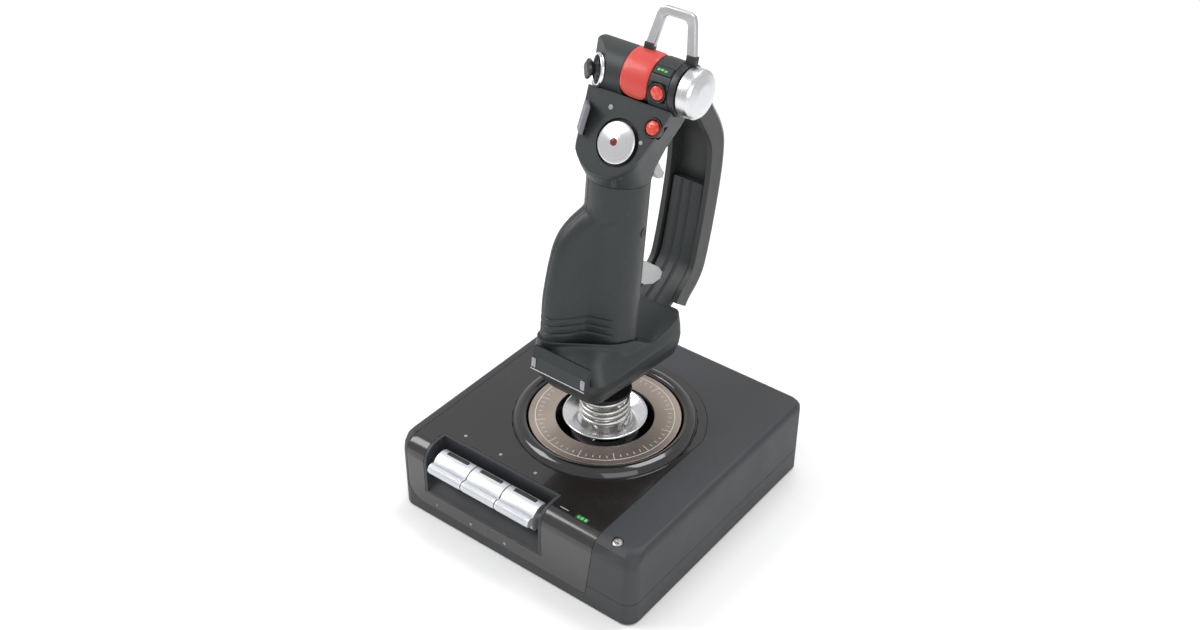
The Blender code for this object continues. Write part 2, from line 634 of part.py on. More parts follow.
def make_grip(frame):
    """Two hollow grip shells that meet along the seam."""
    wide = 80 * MM
    turn = Matrix.Rotation(SEAM_ANGLE, 4, "Z")
    slot_half = 7.5 * MM
    for side, name in ((-1, "grip_shell_left"), (1, "grip_shell_right")):
        half = loft(name, grip_stack(GRIP_BOTTOM, GRIP_TOP, 0), GRIP, frame)
        cut(half, loft(name + "_hollow", grip_stack(GRIP_BOTTOM - 5 * MM, GRIP_TOP + 5 * MM, -GRIP_WALL),
                       None, frame))
        low_y = GAP / 2 if side > 0 else -wide
        high_y = wide if side > 0 else -GAP / 2
        keeper = box(name + "_side", (-wide, low_y, 0), (wide, high_y, 300 * MM), None, frame)
        keeper.matrix_local = turn
        keep(half, keeper)
        cut(half, box(name + "_pinkie_slot", (-slot_half, 12 * MM, 58 * MM), (slot_half, 30 * MM, 92 * MM),
                      None, frame))


def lean_frame():
    """The empty that leans the grip forward and stands it on its foot."""
    frame = bpy.data.objects.new("grip_frame", None)
    PARTS.objects.link(frame)
    frame.matrix_local = Matrix.Translation(GRIP_FOOT) @ Matrix.Rotation(-LEAN, 4, "X")
    return frame


def face_frame():
    """A frame on the face plate: Z out towards the user, X across."""
    normal = Vector((0, -math.cos(FACE_TILT), math.sin(FACE_TILT)))
    across = Vector((1, 0, 0))
    up = normal.cross(across)
    turn = Matrix((across, up, normal)).transposed().to_4x4()
    return Matrix.Translation(FACE_POINT) @ turn


def head_form(name, grow=0.0):
    """The head's block: it widens from the round column towards the barrel."""
    table = ((150.3, -19.2, 19.2, -19.2, 19.2, 19.1), (158, -20, 20, -23, 19.6, 17), (170, -21, 23, -26, 20, 12),
             (185, -22.5, 29, -26, 22, 9), (199, -24, 34, -22, 23.5, 7), (205, -24, 35, -18, 23.5, 7))
    rings = []
    for row in table:
        level, left, right, back, front, radius = [value * MM for value in row]
        rings.append(rounded_rectangle(left + grow, right - grow, back + grow, front - grow,
                                       radius - grow, level))
    return loft(name, rings, None)


def ring_piece(name, outer, inner, low, high, coat, parent, place, steps=20):
    """A plain turned ring."""
    return turned(name, [(outer, high), (outer, low), (inner, low), (inner, high)], coat, parent, place, steps, True)


def button(name, radius, low, high, coat, parent, place):
    """A round button with a shallow dome."""
    dome = radius * 0.25
    return turned(name, [(0, high), (radius * 0.6, high - dome * 0.3), (radius, high - dome), (radius, low),
                         (0, low)], coat, parent, place, 20)


def head_frames():
    """Frames of the fittings in the head: Z out of the surface."""
    v, w = BARREL_CENTRE
    face = face_frame()
    return {
        "face": face,
        "fire_b": face @ Matrix.Translation((19 * MM, 14.5 * MM, 0)),
        "fire_a": facing((25.7 * MM, v - BARREL_RADIUS, w), (0, -1, 0)),
        "launch": facing((COVER_LEFT + COVER_WIDTH / 2, v - BARREL_RADIUS + COVER_STEP, w - 2 * MM), (0, -1, 0)),
        "small_hat": facing((-18.5 * MM, v - 8.9 * MM, w - 1 * MM), (-0.6, -0.79, 0.1)),
        "thumb": facing((-18.3 * MM, -14.6 * MM, 185 * MM), (-0.72, -0.66, 0.2)),
        "lens": facing((25.3 * MM, v + BARREL_RADIUS * math.cos(math.radians(132)),
                        w + BARREL_RADIUS * math.sin(math.radians(132))),
                       (0, math.cos(math.radians(132)), math.sin(math.radians(132)))),
    }


def make_head(frame):
    """The head shell with its barrel, the face plate and everything fixed in it."""
    places = head_frames()
    face = places["face"]
    far = 100 * MM
    v, w = BARREL_CENTRE
    journal_end = BARREL_RIGHT + COLLAR_WIDTH + 2 * GAP
    head = as_part(head_form("head_form"), "head_shell", GRIP, frame)
    cut(head, block_in("face_cut", face, (-far, -far, -FACE_THICKNESS), (far, far, far), None, frame))
    cut(head, block_in("thumb_chamfer", places["thumb"], (-40 * MM, -60 * MM, 0), (40 * MM, 26 * MM, 40 * MM),
                       None, frame))
    cut(head, rod("collar_room", (BARREL_RIGHT, v, w), (far, v, w), BARREL_RADIUS + 2 * GAP, None, frame, None,
                  STEPS))
    barrel = turned("barrel_form", [(0, journal_end), (JOURNAL_RADIUS, journal_end), (JOURNAL_RADIUS, BARREL_RIGHT),
                                    (BARREL_RADIUS, BARREL_RIGHT), (BARREL_RADIUS, BARREL_LEFT + 2.5 * MM),
                                    (BARREL_RADIUS - 2.5 * MM, BARREL_LEFT), (0, BARREL_LEFT)],
                    None, frame, facing((0, v, w), (1, 0, 0)), STEPS)
    fuse(head, barrel)
    groove_radius = BARREL_RADIUS - COVER_STEP
    groove = ring_piece("cover_groove", BARREL_RADIUS + 3 * MM, groove_radius, -GAP, COVER_WIDTH + GAP, None,
                        frame, facing((COVER_LEFT, v, w), (1, 0, 0)), STEPS)
    cavity = loft("head_cavity", [rounded_rectangle(-15 * MM, 15 * MM, -12 * MM, 15 * MM, 10 * MM, 145 * MM),
                                  rounded_rectangle(-15 * MM, 22 * MM, -5 * MM, 16 * MM, 6 * MM, 180 * MM),
                                  rounded_rectangle(-15 * MM, 24 * MM, 2 * MM, 16 * MM, 5 * MM, 200 * MM)],
                  None, frame)
    cut(head, cavity, groove,
        rod_in("hat_pocket", face, 6 * MM, -12 * MM, 5 * MM, frame),
        rod_in("small_hat_flat", places["small_hat"], 25 * MM, 0, 20 * MM, frame),
        rod_in("small_hat_pocket", places["small_hat"], 6 * MM, -9 * MM, 5 * MM, frame),
        rod_in("fire_a_hole", places["fire_a"], BUTTON_BEZEL + GAP, -6 * MM, 9 * MM, frame),
        rod_in("fire_b_hole", places["fire_b"], BUTTON_BEZEL + GAP, -7 * MM, 5 * MM, frame),
        rod_in("launch_hole", places["launch"], BUTTON_RADIUS + GAP, -5 * MM, 5 * MM, frame),
        block_in("thumb_hole", places["thumb"], (-5.3 * MM, -9.3 * MM, -3.5 * MM), (5.3 * MM, 9.3 * MM, 5 * MM),
                 None, frame),
        block_in("lens_hole", places["lens"], (-6.3 * MM, -2.8 * MM, -1.5 * MM), (6.3 * MM, 2.8 * MM, 5 * MM),
                 None, frame),
        box("trigger_slot", (-TRIGGER_HALF - 2 * GAP, 10 * MM, 153 * MM),
            (TRIGGER_HALF + 2 * GAP, 30 * MM, 171 * MM), None, frame))

    plate = as_part(head_form("plate_form"), "face_plate", GRIP, frame)
    keep(plate, block_in("plate_slab", face, (-far, -far, -FACE_THICKNESS + GAP), (far, far, 0), None, frame))
    cut(plate, rod("plate_barrel_cut", (-far, v, w), (far, v, w), BARREL_RADIUS + GAP, None, frame, None, STEPS),
        block_in("plate_thumb_cut", places["thumb"], (-40 * MM, -60 * MM, -GAP), (40 * MM, 26 * MM, 40 * MM),
                 None, frame),
        rod_in("plate_small_hat_cut", places["small_hat"], SMALL_HAT_RADIUS + 2 * GAP, -2 * GAP, 20 * MM, frame),
        rod_in("plate_hat_hole", face, HAT_RADIUS + HAT_SWING, -5 * MM, 5 * MM, frame, 28),
        rod_in("plate_fire_b_hole", places["fire_b"], BUTTON_BEZEL + GAP, -5 * MM, 5 * MM, frame),
        block_in("plate_thumb_hole", places["thumb"], (-5.3 * MM, -9.3 * MM, -3.5 * MM),
                 (5.3 * MM, 9.3 * MM, 5 * MM), None, frame))
    box("head_circuit_board", (-11 * MM, 6.5 * MM, 158 * MM), (11 * MM, 8 * MM, 190 * MM), BOARD, frame)
    block_in("status_lens", places["lens"], (-6 * MM, -2.5 * MM, -1.2 * MM), (6 * MM, 2.5 * MM, 0.3 * MM),
             GREEN, frame, 0.4 * MM)
    for name in ("fire_a", "fire_b"):
        ring_piece(name + "_bezel", BUTTON_BEZEL, BUTTON_RADIUS + GAP, -3 * MM, 0.7 * MM, BLACK, frame,
                   places[name])
        button(name + "_button", BUTTON_RADIUS, -2.6 * MM, 1.8 * MM, AMBER, frame, places[name])
    button("launch_button", BUTTON_RADIUS, -3 * MM, -0.4 * MM, RED, frame, places["launch"])
    block_in("thumb_button", places["thumb"], (-5 * MM, -9 * MM, -2 * MM), (5 * MM, 9 * MM, 0.8 * MM),
             GREY_PAD, frame, 0.8 * MM)
    make_hats(frame, places)


def rod_in(name, place, radius, low, high, parent, steps=24):
    """A round guide along Z of a frame."""
    made = rod(name, (0, 0, low), (0, 0, high), radius, None, parent, None, steps)
    made.matrix_local = place
    return made


def make_hats(frame, places):
    """The conical hat on the face, the small hat on the barrel, and the rings that they rock in."""
    face = places["face"]
    ring_piece("hat_ring", 4.8 * MM, 3 * MM, -HAT_DEPTH - 1 * MM, -HAT_DEPTH + 1 * MM, BLACK, frame, face, 20)
    turned("hat_cap", [(0, 4.4 * MM), (2.2 * MM, 4.2 * MM), (HAT_RADIUS - 0.6 * MM, 1.9 * MM),
                       (HAT_RADIUS, 1.2 * MM), (HAT_RADIUS - 0.4 * MM, 0.6 * MM), (3 * MM, 0.6 * MM),
                       (1.8 * MM, -1 * MM), (1.8 * MM, -HAT_DEPTH - 2 * MM), (0, -HAT_DEPTH - 2 * MM)],
           SILVER, frame, face, 28)
    small = places["small_hat"]
    ring_piece("small_hat_bezel", SMALL_HAT_RADIUS, SMALL_HAT_RADIUS - 1.6 * MM, 0.3 * MM, 2.6 * MM, CHROME, frame,
               small, 24)
    ring_piece("small_hat_ring", 4.8 * MM, 3 * MM, -5 * MM, -3 * MM, BLACK, frame, small, 20)
    cap = turned("small_hat_cap", [(0, 8 * MM), (4.2 * MM, 8 * MM), (4.8 * MM, 7.2 * MM), (3.2 * MM, 4.2 * MM),
                                   (4.6 * MM, 1.2 * MM), (1.8 * MM, 0.9 * MM), (1.8 * MM, -6 * MM),
                                   (0, -6 * MM)], BLACK, frame, small, 18)
    for i, turn in enumerate((0, 90)):
        arm = block_in(f"small_hat_arm_{i + 1}", small @ Matrix.Rotation(math.radians(turn + 45), 4, "Z"),
                       (-6.2 * MM, -1.5 * MM, 5.6 * MM), (6.2 * MM, 1.5 * MM, 8.6 * MM), None, frame)
        fuse(cap, arm)


def arc(centre, radius, start, end, count):
    """Points of an arc between two angles in degrees, in the (v, w) plane."""
    return [(centre[0] + radius * math.cos(a), centre[1] + radius * math.sin(a))
            for a in np.radians(np.linspace(start, end, count))]


def make_cover(frame):
    """The safety cover that slides round the barrel, its bail, its collar, and the mode knob."""
    v, w = BARREL_CENTRE
    inner = BARREL_RADIUS - COVER_STEP + GAP
    start, end = COVER_ANGLES
    outline = arc(BARREL_CENTRE, inner + COVER_WALL, start, end, 22) + arc(BARREL_CENTRE, inner, end, start, 22)
    slab("safety_cover", outline, COVER_LEFT, COVER_LEFT + COVER_WIDTH, RED, frame)
    collar_left = BARREL_RIGHT + GAP
    along = facing((0, v, w), (1, 0, 0))
    ring_piece("bail_collar", BARREL_RADIUS, JOURNAL_RADIUS + GAP, collar_left, collar_left + COLLAR_WIDTH, BLACK,
               frame, along, 28)
    knob_left = collar_left + COLLAR_WIDTH + 2 * GAP
    knob_right = knob_left + KNOB_LENGTH
    turned("mode_knob", [(0, knob_right), (KNOB_RADIUS * 0.5, knob_right - 0.3 * MM),
                         (KNOB_RADIUS - 1.6 * MM, knob_right - 1.8 * MM), (KNOB_RADIUS, knob_right - 3.6 * MM),
                         (KNOB_RADIUS, knob_left), (0, knob_left)], SILVER, frame, along, 28)
    foot = BARREL_RADIUS + COVER_WALL
    half = BAIL_WIDTH / 2
    top = foot + BAIL_HEIGHT
    crown = 5 * MM
    outside = [(-BAIL_FOOT_HALF - half, foot), (-BAIL_TOP_HALF - half, top - crown),
               (-BAIL_TOP_HALF - half + crown * 0.35, top - crown * 0.25), (-BAIL_TOP_HALF + crown * 0.5, top)]
    inside = [(-BAIL_FOOT_HALF + half, foot - 5 * MM), (-BAIL_TOP_HALF + half, top - BAIL_WIDTH - 2 * MM),
              (-BAIL_TOP_HALF + half + 2 * MM, top - BAIL_WIDTH)]
    upright = Matrix(((1, 0, 0, 0), (0, 0, -1, 0), (0, 1, 0, 0), (0, 0, 0, 1)))
    stand = (Matrix.Translation((BAIL_MIDDLE, v, w)) @ Matrix.Rotation(-BAIL_LEAN, 4, "X") @ upright)
    thick = BAIL_THICKNESS / 2
    bail = slab("bail", outside + [(-x, z) for x, z in outside[::-1]], -thick, thick, SILVER, frame, "Z")
    bail.matrix_local = stand
    hole = slab("bail_window", inside + [(-x, z) for x, z in inside[::-1]], -9 * MM, 9 * MM, None, frame, "Z")
    hole.matrix_local = stand
    cut(bail, hole)


def flow(points, per=3):
    """A smooth (Catmull-Rom) line through points given in millimetres."""
    points = np.array([points[0], *points, points[-1]], float) * MM
    steps = np.linspace(0, 1, per, endpoint=False)[:, None]
    line = []
    for a, b, c, d in zip(points, points[1:], points[2:], points[3:]):
        line.append(0.5 * (2 * b + (c - a) * steps + (2 * a - 5 * b + 4 * c - d) * steps ** 2
                           + (3 * b - a - 3 * c + d) * steps ** 3))
    return np.vstack([*line, points[-1:]])


def beside(line, distance):
    """A line moved sideways by a distance, to the left of the way it runs."""
    way = np.gradient(line, axis=0)
    way /= np.linalg.norm(way, axis=1)[:, None]
    return line + distance * np.column_stack([-way[:, 1], way[:, 0]])


def band(name, near, far_side, half, coat, parent):
    """A slab between two lines, of a half width across."""
    outline = [tuple(point) for point in near] + [tuple(point) for point in far_side[::-1]]
    return slab(name, outline, -half, half, coat, parent)


def make_guard(frame):
    """The hand guard: a channel that faces the grip, and the bright strip along its outside."""
    outside = flow(GUARD_LINE)
    skin = beside(outside, -TRIM_THICKNESS - GAP)
    guard = band("hand_guard", skin, beside(skin, -GUARD_DEPTH), GUARD_HALF, GRIP, frame)
    start = 8
    past_end = np.vstack([skin[start:], 3 * skin[-1] - 2 * skin[-2]])
    channel = band("guard_channel", beside(past_end, -GUARD_WALL), beside(past_end, -GUARD_DEPTH - 6 * MM),
                   TONGUE_HALF + CHANNEL_GAP, None, frame)
    cut(guard, channel)
    strip = 6
    band("guard_trim", outside[strip:], beside(outside, -TRIM_THICKNESS)[strip:], GUARD_HALF - 1 * MM, SILVER,
         frame)


def make_hand_rest(frame):
    """The hand rest: a foot round the grip's end, a scoop in front of it and a tongue in the guard."""
    table = ((3.5, ((0, -10, 11), (0, 10, 11))),
             (12, ((-12, -24, 7), (11, -24, 7), (-11, 30, 7), (12, 31, 7))),
             (18, ((-17, -29, 7), (16, -29, 7), (-16, 42, 7), (19, 43, 7))),
             (31, ((-20, -31.8, 8), (19, -31.8, 8), (-18, 44, 6), (21, 45, 6))),
             (46, ((-18, -29.8, 10), (10, -27, 12), (-17, 44, 6), (18, 45, 6))))
    rings = []
    for level, circles in table:
        rings.append(wrap([(a * MM, b * MM, r * MM) for a, b, r in circles], level * MM, 44))
    rest = loft("hand_rest", rings, GRIP, frame)
    scoop = flow(REST_SCOOP, 2)
    top = beside(scoop, -GAP)
    under = beside(scoop, -TONGUE_THICKNESS)
    half = TONGUE_HALF
    away = [(float(scoop[-1][0]), 200 * MM), (float(scoop[0][0]), 200 * MM)]
    cut(rest, slab("scoop_space", [tuple(p) for p in scoop] + away, -60 * MM, 60 * MM, None, frame))
    low = int(len(scoop) * 0.3)
    tongue = band("tongue_form", top[low:], under[low:], half, None, frame)
    fuse(rest, tongue)
    pocket = loft("rest_pocket", [wrap(grip_circles(level * MM), level * MM, STEPS, POCKET_CLEARANCE)
                                  for level in (GRIP_BOTTOM / MM - 16.5, REST_RIM / MM + 8)], None, frame)
    lift = GRIP_FOOT.y * -1
    bottom = Vector((0, lift * math.cos(LEAN) + 12 * MM * math.sin(LEAN),
                     lift * math.sin(LEAN) - 12 * MM * math.cos(LEAN)))
    up = Vector((0, -math.sin(LEAN), math.cos(LEAN)))
    shaft_hole = rod("rest_shaft_hole", bottom, bottom + up * 40 * MM, SHAFT_RADIUS + 3 * MM, None, frame)
    cut(rest, pocket, shaft_hole)


def make_levers(frame):
    """Trigger, little-finger lever and the latch of the hand rest, each with its pin."""
    trigger_line = [(13, 166), (20, 168), (27, 161), (31, 151), (37, 143), (39.5, 140.5), (38.5, 137.5),
                    (34, 138), (29, 143), (25.5, 150), (22, 156.5), (14, 158)]
    trigger = slab("trigger", scaled(trigger_line), -TRIGGER_HALF, TRIGGER_HALF, SILVER, frame)
    pinkie_line = [(12, 88), (18, 89), (30, 83), (42, 75), (47.5, 69), (46, 65), (38, 64.5), (28, 68), (20, 74),
                   (12, 82)]
    pinkie = slab("pinkie_lever", scaled(pinkie_line), -PINKIE_HALF, PINKIE_HALF, SILVER, frame)
    latch_line = [(-40.7, 43.4), (-43.6, 44.5), (-45.8, 38), (-46.2, 30), (-44.6, 27.5), (-42.2, 29), (-42.4, 37),
                  (-40.2, 40)]
    slab("latch_lever", scaled(latch_line), -LATCH_HALF, LATCH_HALF, CHROME, frame)
    for lever, name, pivot, half in ((trigger, "trigger_pin", TRIGGER_PIVOT, TRIGGER_HALF),
                                     (pinkie, "pinkie_pin", PINKIE_PIVOT, PINKIE_HALF)):
        ends = [(side * (half + 0.4 * MM), pivot.x, pivot.y) for side in (-1, 1)]
        wide = [(side * (half + 5 * MM), pivot.x, pivot.y) for side in (-1, 1)]
        cut(lever, rod(name + "_bore", *wide, 1.3 * MM, None, frame, None, 14))
        rod(name, *ends, 1 * MM, STEEL, frame, None, 14)


def scaled(points):
    """Points given in millimetres, in metres."""
    return [(a * MM, b * MM) for a, b in points]


def make_twist_bearing():
    """The bush that the grip turns on and its twist sensor, both upright round the shaft."""
    ring_piece("twist_bearing", 13 * MM, SHAFT_RADIUS + GAP, 126 * MM, 144 * MM, BLACK, None, None, 28)
    box("twist_sensor", (-7 * MM, -7 * MM, SHAFT_TOP + 1 * MM), (7 * MM, 7 * MM, SHAFT_TOP + 7 * MM), BOARD, None,
        0.5 * MM)


def build():
    make_base()
    make_toggles()
    make_gimbal()
    frame = lean_frame()
    make_grip(frame)
    make_head(frame)
    make_cover(frame)
    make_guard(frame)
    make_hand_rest(frame)
    make_levers(frame)
    make_twist_bearing()


build()
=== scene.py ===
"""Flight joystick: finished surfaces, finishes, stage and view, laid out as an add-on.

Metres, +Z up, the origin on the desk under the gimbal. The grip's own pieces are worked out in an
upright grip frame (u across, v forward, w up) and leaned forward by LEANED. Profiles and outlines are in
millimetres, and settle() and its callers turn them into metres.
"""
import json
import math

import bmesh
import bpy
import numpy as np
from mathutils import Matrix, Vector


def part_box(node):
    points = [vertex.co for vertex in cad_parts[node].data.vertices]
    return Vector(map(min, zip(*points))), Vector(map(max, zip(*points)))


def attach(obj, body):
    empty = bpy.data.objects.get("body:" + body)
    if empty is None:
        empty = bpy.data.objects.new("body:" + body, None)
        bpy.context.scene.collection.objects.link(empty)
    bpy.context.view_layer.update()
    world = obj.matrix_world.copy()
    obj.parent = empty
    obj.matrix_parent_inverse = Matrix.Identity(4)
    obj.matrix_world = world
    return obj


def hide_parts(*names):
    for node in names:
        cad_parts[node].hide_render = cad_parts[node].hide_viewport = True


bl_info = {
    "name": "Flight joystick",
    "version": (1, 0, 0),
    "blender": (4, 5, 0),
    "location": "View3D > Sidebar > Joystick",
    "description": "Builds the finished surfaces, finishes and stage of a flight joystick",
    "category": "Object",
}

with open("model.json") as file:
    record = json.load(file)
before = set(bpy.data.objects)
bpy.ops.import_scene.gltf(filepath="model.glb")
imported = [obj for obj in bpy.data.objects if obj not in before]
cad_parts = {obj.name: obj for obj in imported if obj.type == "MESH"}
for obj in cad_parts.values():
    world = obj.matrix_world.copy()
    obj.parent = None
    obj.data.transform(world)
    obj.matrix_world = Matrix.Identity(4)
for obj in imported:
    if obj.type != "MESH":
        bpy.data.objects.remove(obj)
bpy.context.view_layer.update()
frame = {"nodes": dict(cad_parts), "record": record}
MM = 0.001
LEAN = math.radians(6)
GRIP_FOOT = np.array([0, -0.005, 0.080])
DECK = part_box("base_shell")[1][2]
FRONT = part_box("base_shell")[0][1]
AXIS = Matrix.Identity(4)
LEANED = Matrix.Translation(Vector(GRIP_FOOT)) @ Matrix.Rotation(-LEAN, 4, "X")
FACE_TILT = math.radians(24.6)
BARREL = (8 * MM, 211 * MM)
BARREL_RADIUS = 15.3 * MM
SPRING_RADIUS = 15 * MM
COLUMN_RADIUS, FLANGE_RADIUS = 19, 8  # in millimetres, as outlines are
ROUND_STEPS = 260


def square(point, direction):
    """A frame at a point whose Z looks along a direction."""
    turn = Vector(direction).to_track_quat("Z", "Y").to_matrix().to_4x4()
    return Matrix.Translation(Vector(point)) @ turn


FACE = LEANED @ Matrix.Translation((7 * MM, -14.6 * MM, 177.4 * MM)) @ Matrix(
    ((1, 0, 0, 0), (0, math.sin(FACE_TILT), -math.cos(FACE_TILT), 0),
     (0, math.cos(FACE_TILT), math.sin(FACE_TILT), 0), (0, 0, 0, 1)))
BARREL_LINE = LEANED @ square((0, BARREL[0], BARREL[1]), (1, 0, 0))
FIRE_A = LEANED @ square((25.7 * MM, BARREL[0] - BARREL_RADIUS, BARREL[1]), (0, -1, 0))
FIRE_B = FACE @ Matrix.Translation((19 * MM, 14.5 * MM, 0))
SMALL_HAT = LEANED @ square((-18.5 * MM, BARREL[0] - 8.9 * MM, BARREL[1] - 1 * MM), (-0.6, -0.79, 0.1))


# Finishes ---------------------------------------------------------------------------------------

class Reading:
    """A shader socket that works in Python sums; each sum adds its Math node."""

    def __init__(self, finish, socket):
        self.finish = finish
        self.socket = socket

    def math(self, operation, *others):
        """A Math node of this reading and others, in that order."""
        return self.finish.node("ShaderNodeMath", {"operation": operation}, dict(enumerate((self, *others))))

    def __add__(self, other):
        return self.math("ADD", other)

    __radd__ = __add__

    def __mul__(self, other):
        return self.math("MULTIPLY", other)

    __rmul__ = __mul__

    def __sub__(self, other):
        return self.math("SUBTRACT", other)

    def __rsub__(self, other):
        return self.finish.node("ShaderNodeMath", {"operation": "SUBTRACT"}, {0: other, 1: self})

    def between(self, low, high, soft=0.00005):
        """1 between two values, with soft edges."""
        rise = self.finish.ramp(self, low - soft, low + soft)
        fall = self.finish.ramp(self, high - soft, high + soft)
        return rise * (1 - fall)


class Finish:
    """A node material with a Principled shader and short ways to add nodes."""

    def __init__(self, name, colour, roughness, metallic=0.0, **constants):
        self.material = bpy.data.materials.new(name)
        self.material.use_nodes = True
        self.tree = self.material.node_tree
        self.shader = self.tree.nodes["Principled BSDF"]
        self.shader.inputs["Base Color"].default_value = (*colour, 1)
        self.shader.inputs["Roughness"].default_value = roughness
        self.shader.inputs["Metallic"].default_value = metallic
        for key, value in constants.items():
            self.shader.inputs[key.replace("_", " ")].default_value = value
        self.place = self.node("ShaderNodeTexCoord", {}, {}, "Object")

    def node(self, kind, settings, inputs, output=0):
        """Adds a node: its settings first, then a value or a link for each socket; gives back one output."""
        made = self.tree.nodes.new(kind)
        for key, value in settings.items():
            setattr(made, key, value)
        for key, value in inputs.items():
            if isinstance(value, Reading):
                self.tree.links.new(value.socket, made.inputs[key])
            elif value is not None:
                made.inputs[key].default_value = value
        return Reading(self, made.outputs[output])

    def ramp(self, value, low, high):
        """0 below a value, 1 above another, smooth between."""
        return self.node("ShaderNodeMapRange", {"interpolation_type": "SMOOTHSTEP"},
                         {"Value": value, "From Min": low, "From Max": high})

    def noise(self, scale, detail=3.0, vector=None):
        """Uneven cloud between 0 and 1, on object coordinates unless a vector is given."""
        return self.node("ShaderNodeTexNoise", {}, {"Vector": vector or self.place, "Scale": scale,
                                                    "Detail": detail}, "Fac")

    def mix(self, amount, first, second):
        """One colour into another by a mask."""
        first, second = (c if isinstance(c, Reading) else (*c, 1) for c in (first, second))
        return self.node("ShaderNodeMix", {"data_type": "RGBA"}, {0: amount, 6: first, 7: second}, 2)

    def split(self):
        """The three object coordinates."""
        parts = self.tree.nodes.new("ShaderNodeSeparateXYZ")
        self.tree.links.new(self.place.socket, parts.inputs[0])
        return [Reading(self, socket) for socket in parts.outputs]

    def set(self, name, value):
        """Links a reading to a socket of the shader."""
        self.tree.links.new(value.socket, self.shader.inputs[name])

    def relief(self, height, strength, distance=0.0001, bevel=0.0004):
        """Bumps over slightly rounded edges."""
        edge = self.node("ShaderNodeBevel", {"samples": 4}, {"Radius": bevel})
        self.set("Normal", self.node("ShaderNodeBump", {}, {"Strength": strength, "Distance": distance,
                                                            "Height": height, "Normal": edge}))


def moulded(name, colour, roughness, grain=2600, strength=0.35, vary=0.16, coat=0.0):
    """Moulded plastic: spark-eroded grain, uneven sheen and a slight drift of tone."""
    made = Finish(name, colour, roughness, 0.0, Coat_Weight=coat, Coat_Roughness=0.12)
    drift = made.noise(22, 4)
    dust = made.noise(380, 2)
    tone = made.mix(drift, [c * (1 - vary) for c in colour], [c * (1 + vary) for c in colour])
    made.set("Base Color", made.mix(made.ramp(dust, 0.6, 0.8) * 0.025, tone, (0.4, 0.4, 0.4)))
    made.set("Roughness", made.noise(60, 3) * 0.14 + (roughness - 0.07) + dust * 0.04)
    made.relief(made.noise(grain, 2), strength)
    return made


def glossy(name, colour, roughness=0.12):
    """Polished dark plastic with faint wipe marks."""
    made = Finish(name, colour, roughness, 0.0, Coat_Weight=0.6, Coat_Roughness=0.05)
    smear = made.noise(45, 5)
    made.set("Roughness", made.ramp(smear, 0.35, 0.8) * 0.14 + roughness)
    made.set("Base Color", made.mix(made.noise(14), [c * 0.85 for c in colour], [c * 1.2 for c in colour]))
    made.relief(made.noise(30, 2), 0.05, 0.0001)
    return made


def brushed(name, colour, roughness, stretch, metallic=1.0):
    """Metal with fine lines that run across the stretched direction."""
    made = Finish(name, colour, roughness, metallic, Anisotropic=0.4)
    lines = made.noise(1, 4, made.node("ShaderNodeVectorMath", {"operation": "MULTIPLY"},
                                       {0: made.place, 1: stretch}))
    made.set("Base Color", made.mix(lines, [c * 0.86 for c in colour], [min(c * 1.1, 1) for c in colour]))
    made.set("Roughness", lines * 0.22 + (roughness - 0.08) + made.noise(35) * 0.06)
    made.relief(lines, 0.12)
    return made


def spun(name, colour, roughness, centre, lines=2600, metallic=1.0):
    """Metal turned on a lathe: fine rings round a centre, with an anisotropic sheen."""
    made = Finish(name, colour, roughness, metallic, Anisotropic=0.5)
    spot = made.node("ShaderNodeVectorMath", {"operation": "SUBTRACT"}, {0: made.place, 1: tuple(centre)})
    away = made.node("ShaderNodeVectorMath", {"operation": "LENGTH"}, {0: spot}, "Value")
    ring = made.node("ShaderNodeTexNoise", {"noise_dimensions": "1D"}, {"W": away, "Scale": lines, "Detail": 2.0},
                     "Fac")
    made.set("Base Color", made.mix(ring, [c * 0.85 for c in colour], [min(c * 1.12, 1) for c in colour]))
    made.set("Roughness", ring * 0.2 + (roughness - 0.06))
    made.relief(ring, 0.1)
    return made


def scale_plate(colour):
    """The gimbal plate: spun warm metal with a printed arc and ticks, and a painted sheen of lighter and darker
    sectors round its centre.

    A tick is where the fraction of angle over step is near one half and the radius lies in the tick's band.
    """
    made = Finish("plate_finish", colour, 0.34, 0.85, Anisotropic=0.5)
    x, y, _ = made.split()
    away = (x * x + y * y).math("SQRT")
    turn = y.math("ARCTAN2", x)
    ring = made.node("ShaderNodeTexNoise", {"noise_dimensions": "1D"}, {"W": away, "Scale": 3000.0, "Detail": 2.0},
                     "Fac")
    # Painted sheen: a slow noise round the angle makes broad sectors lighter and darker in colour, standing for the
    # shine of turned metal.
    painted_sheen_sector = made.node("ShaderNodeTexNoise", {"noise_dimensions": "1D"}, {"W": turn, "Scale": 1.6, "Detail": 1.0},
                       "Fac")
    metal = made.mix(ring * 0.5 + painted_sheen_sector * 0.5, [c * 0.8 for c in colour], [c * 1.2 for c in colour])
    step = math.radians(6)
    phase = (turn * (1 / step)).math("FRACT").math("ABSOLUTE")
    tick = phase.between(0.46, 0.54, 0.01) * away.between(0.0405, 0.0428)
    long_phase = (turn * (1 / (5 * step))).math("FRACT").math("ABSOLUTE")
    long_tick = long_phase.between(0.492, 0.508, 0.002) * away.between(0.0385, 0.0445)
    arc = away.between(0.0446, 0.0450)
    marks = tick.math("MAXIMUM", long_tick).math("MAXIMUM", arc)
    made.set("Base Color", made.mix(marks * 0.85, metal, (0.85, 0.83, 0.8)))
    made.set("Roughness", ring * 0.18 + 0.26)
    made.set("Metallic", (1 - marks) * 0.85)
    made.relief(ring, 0.08)
    return made


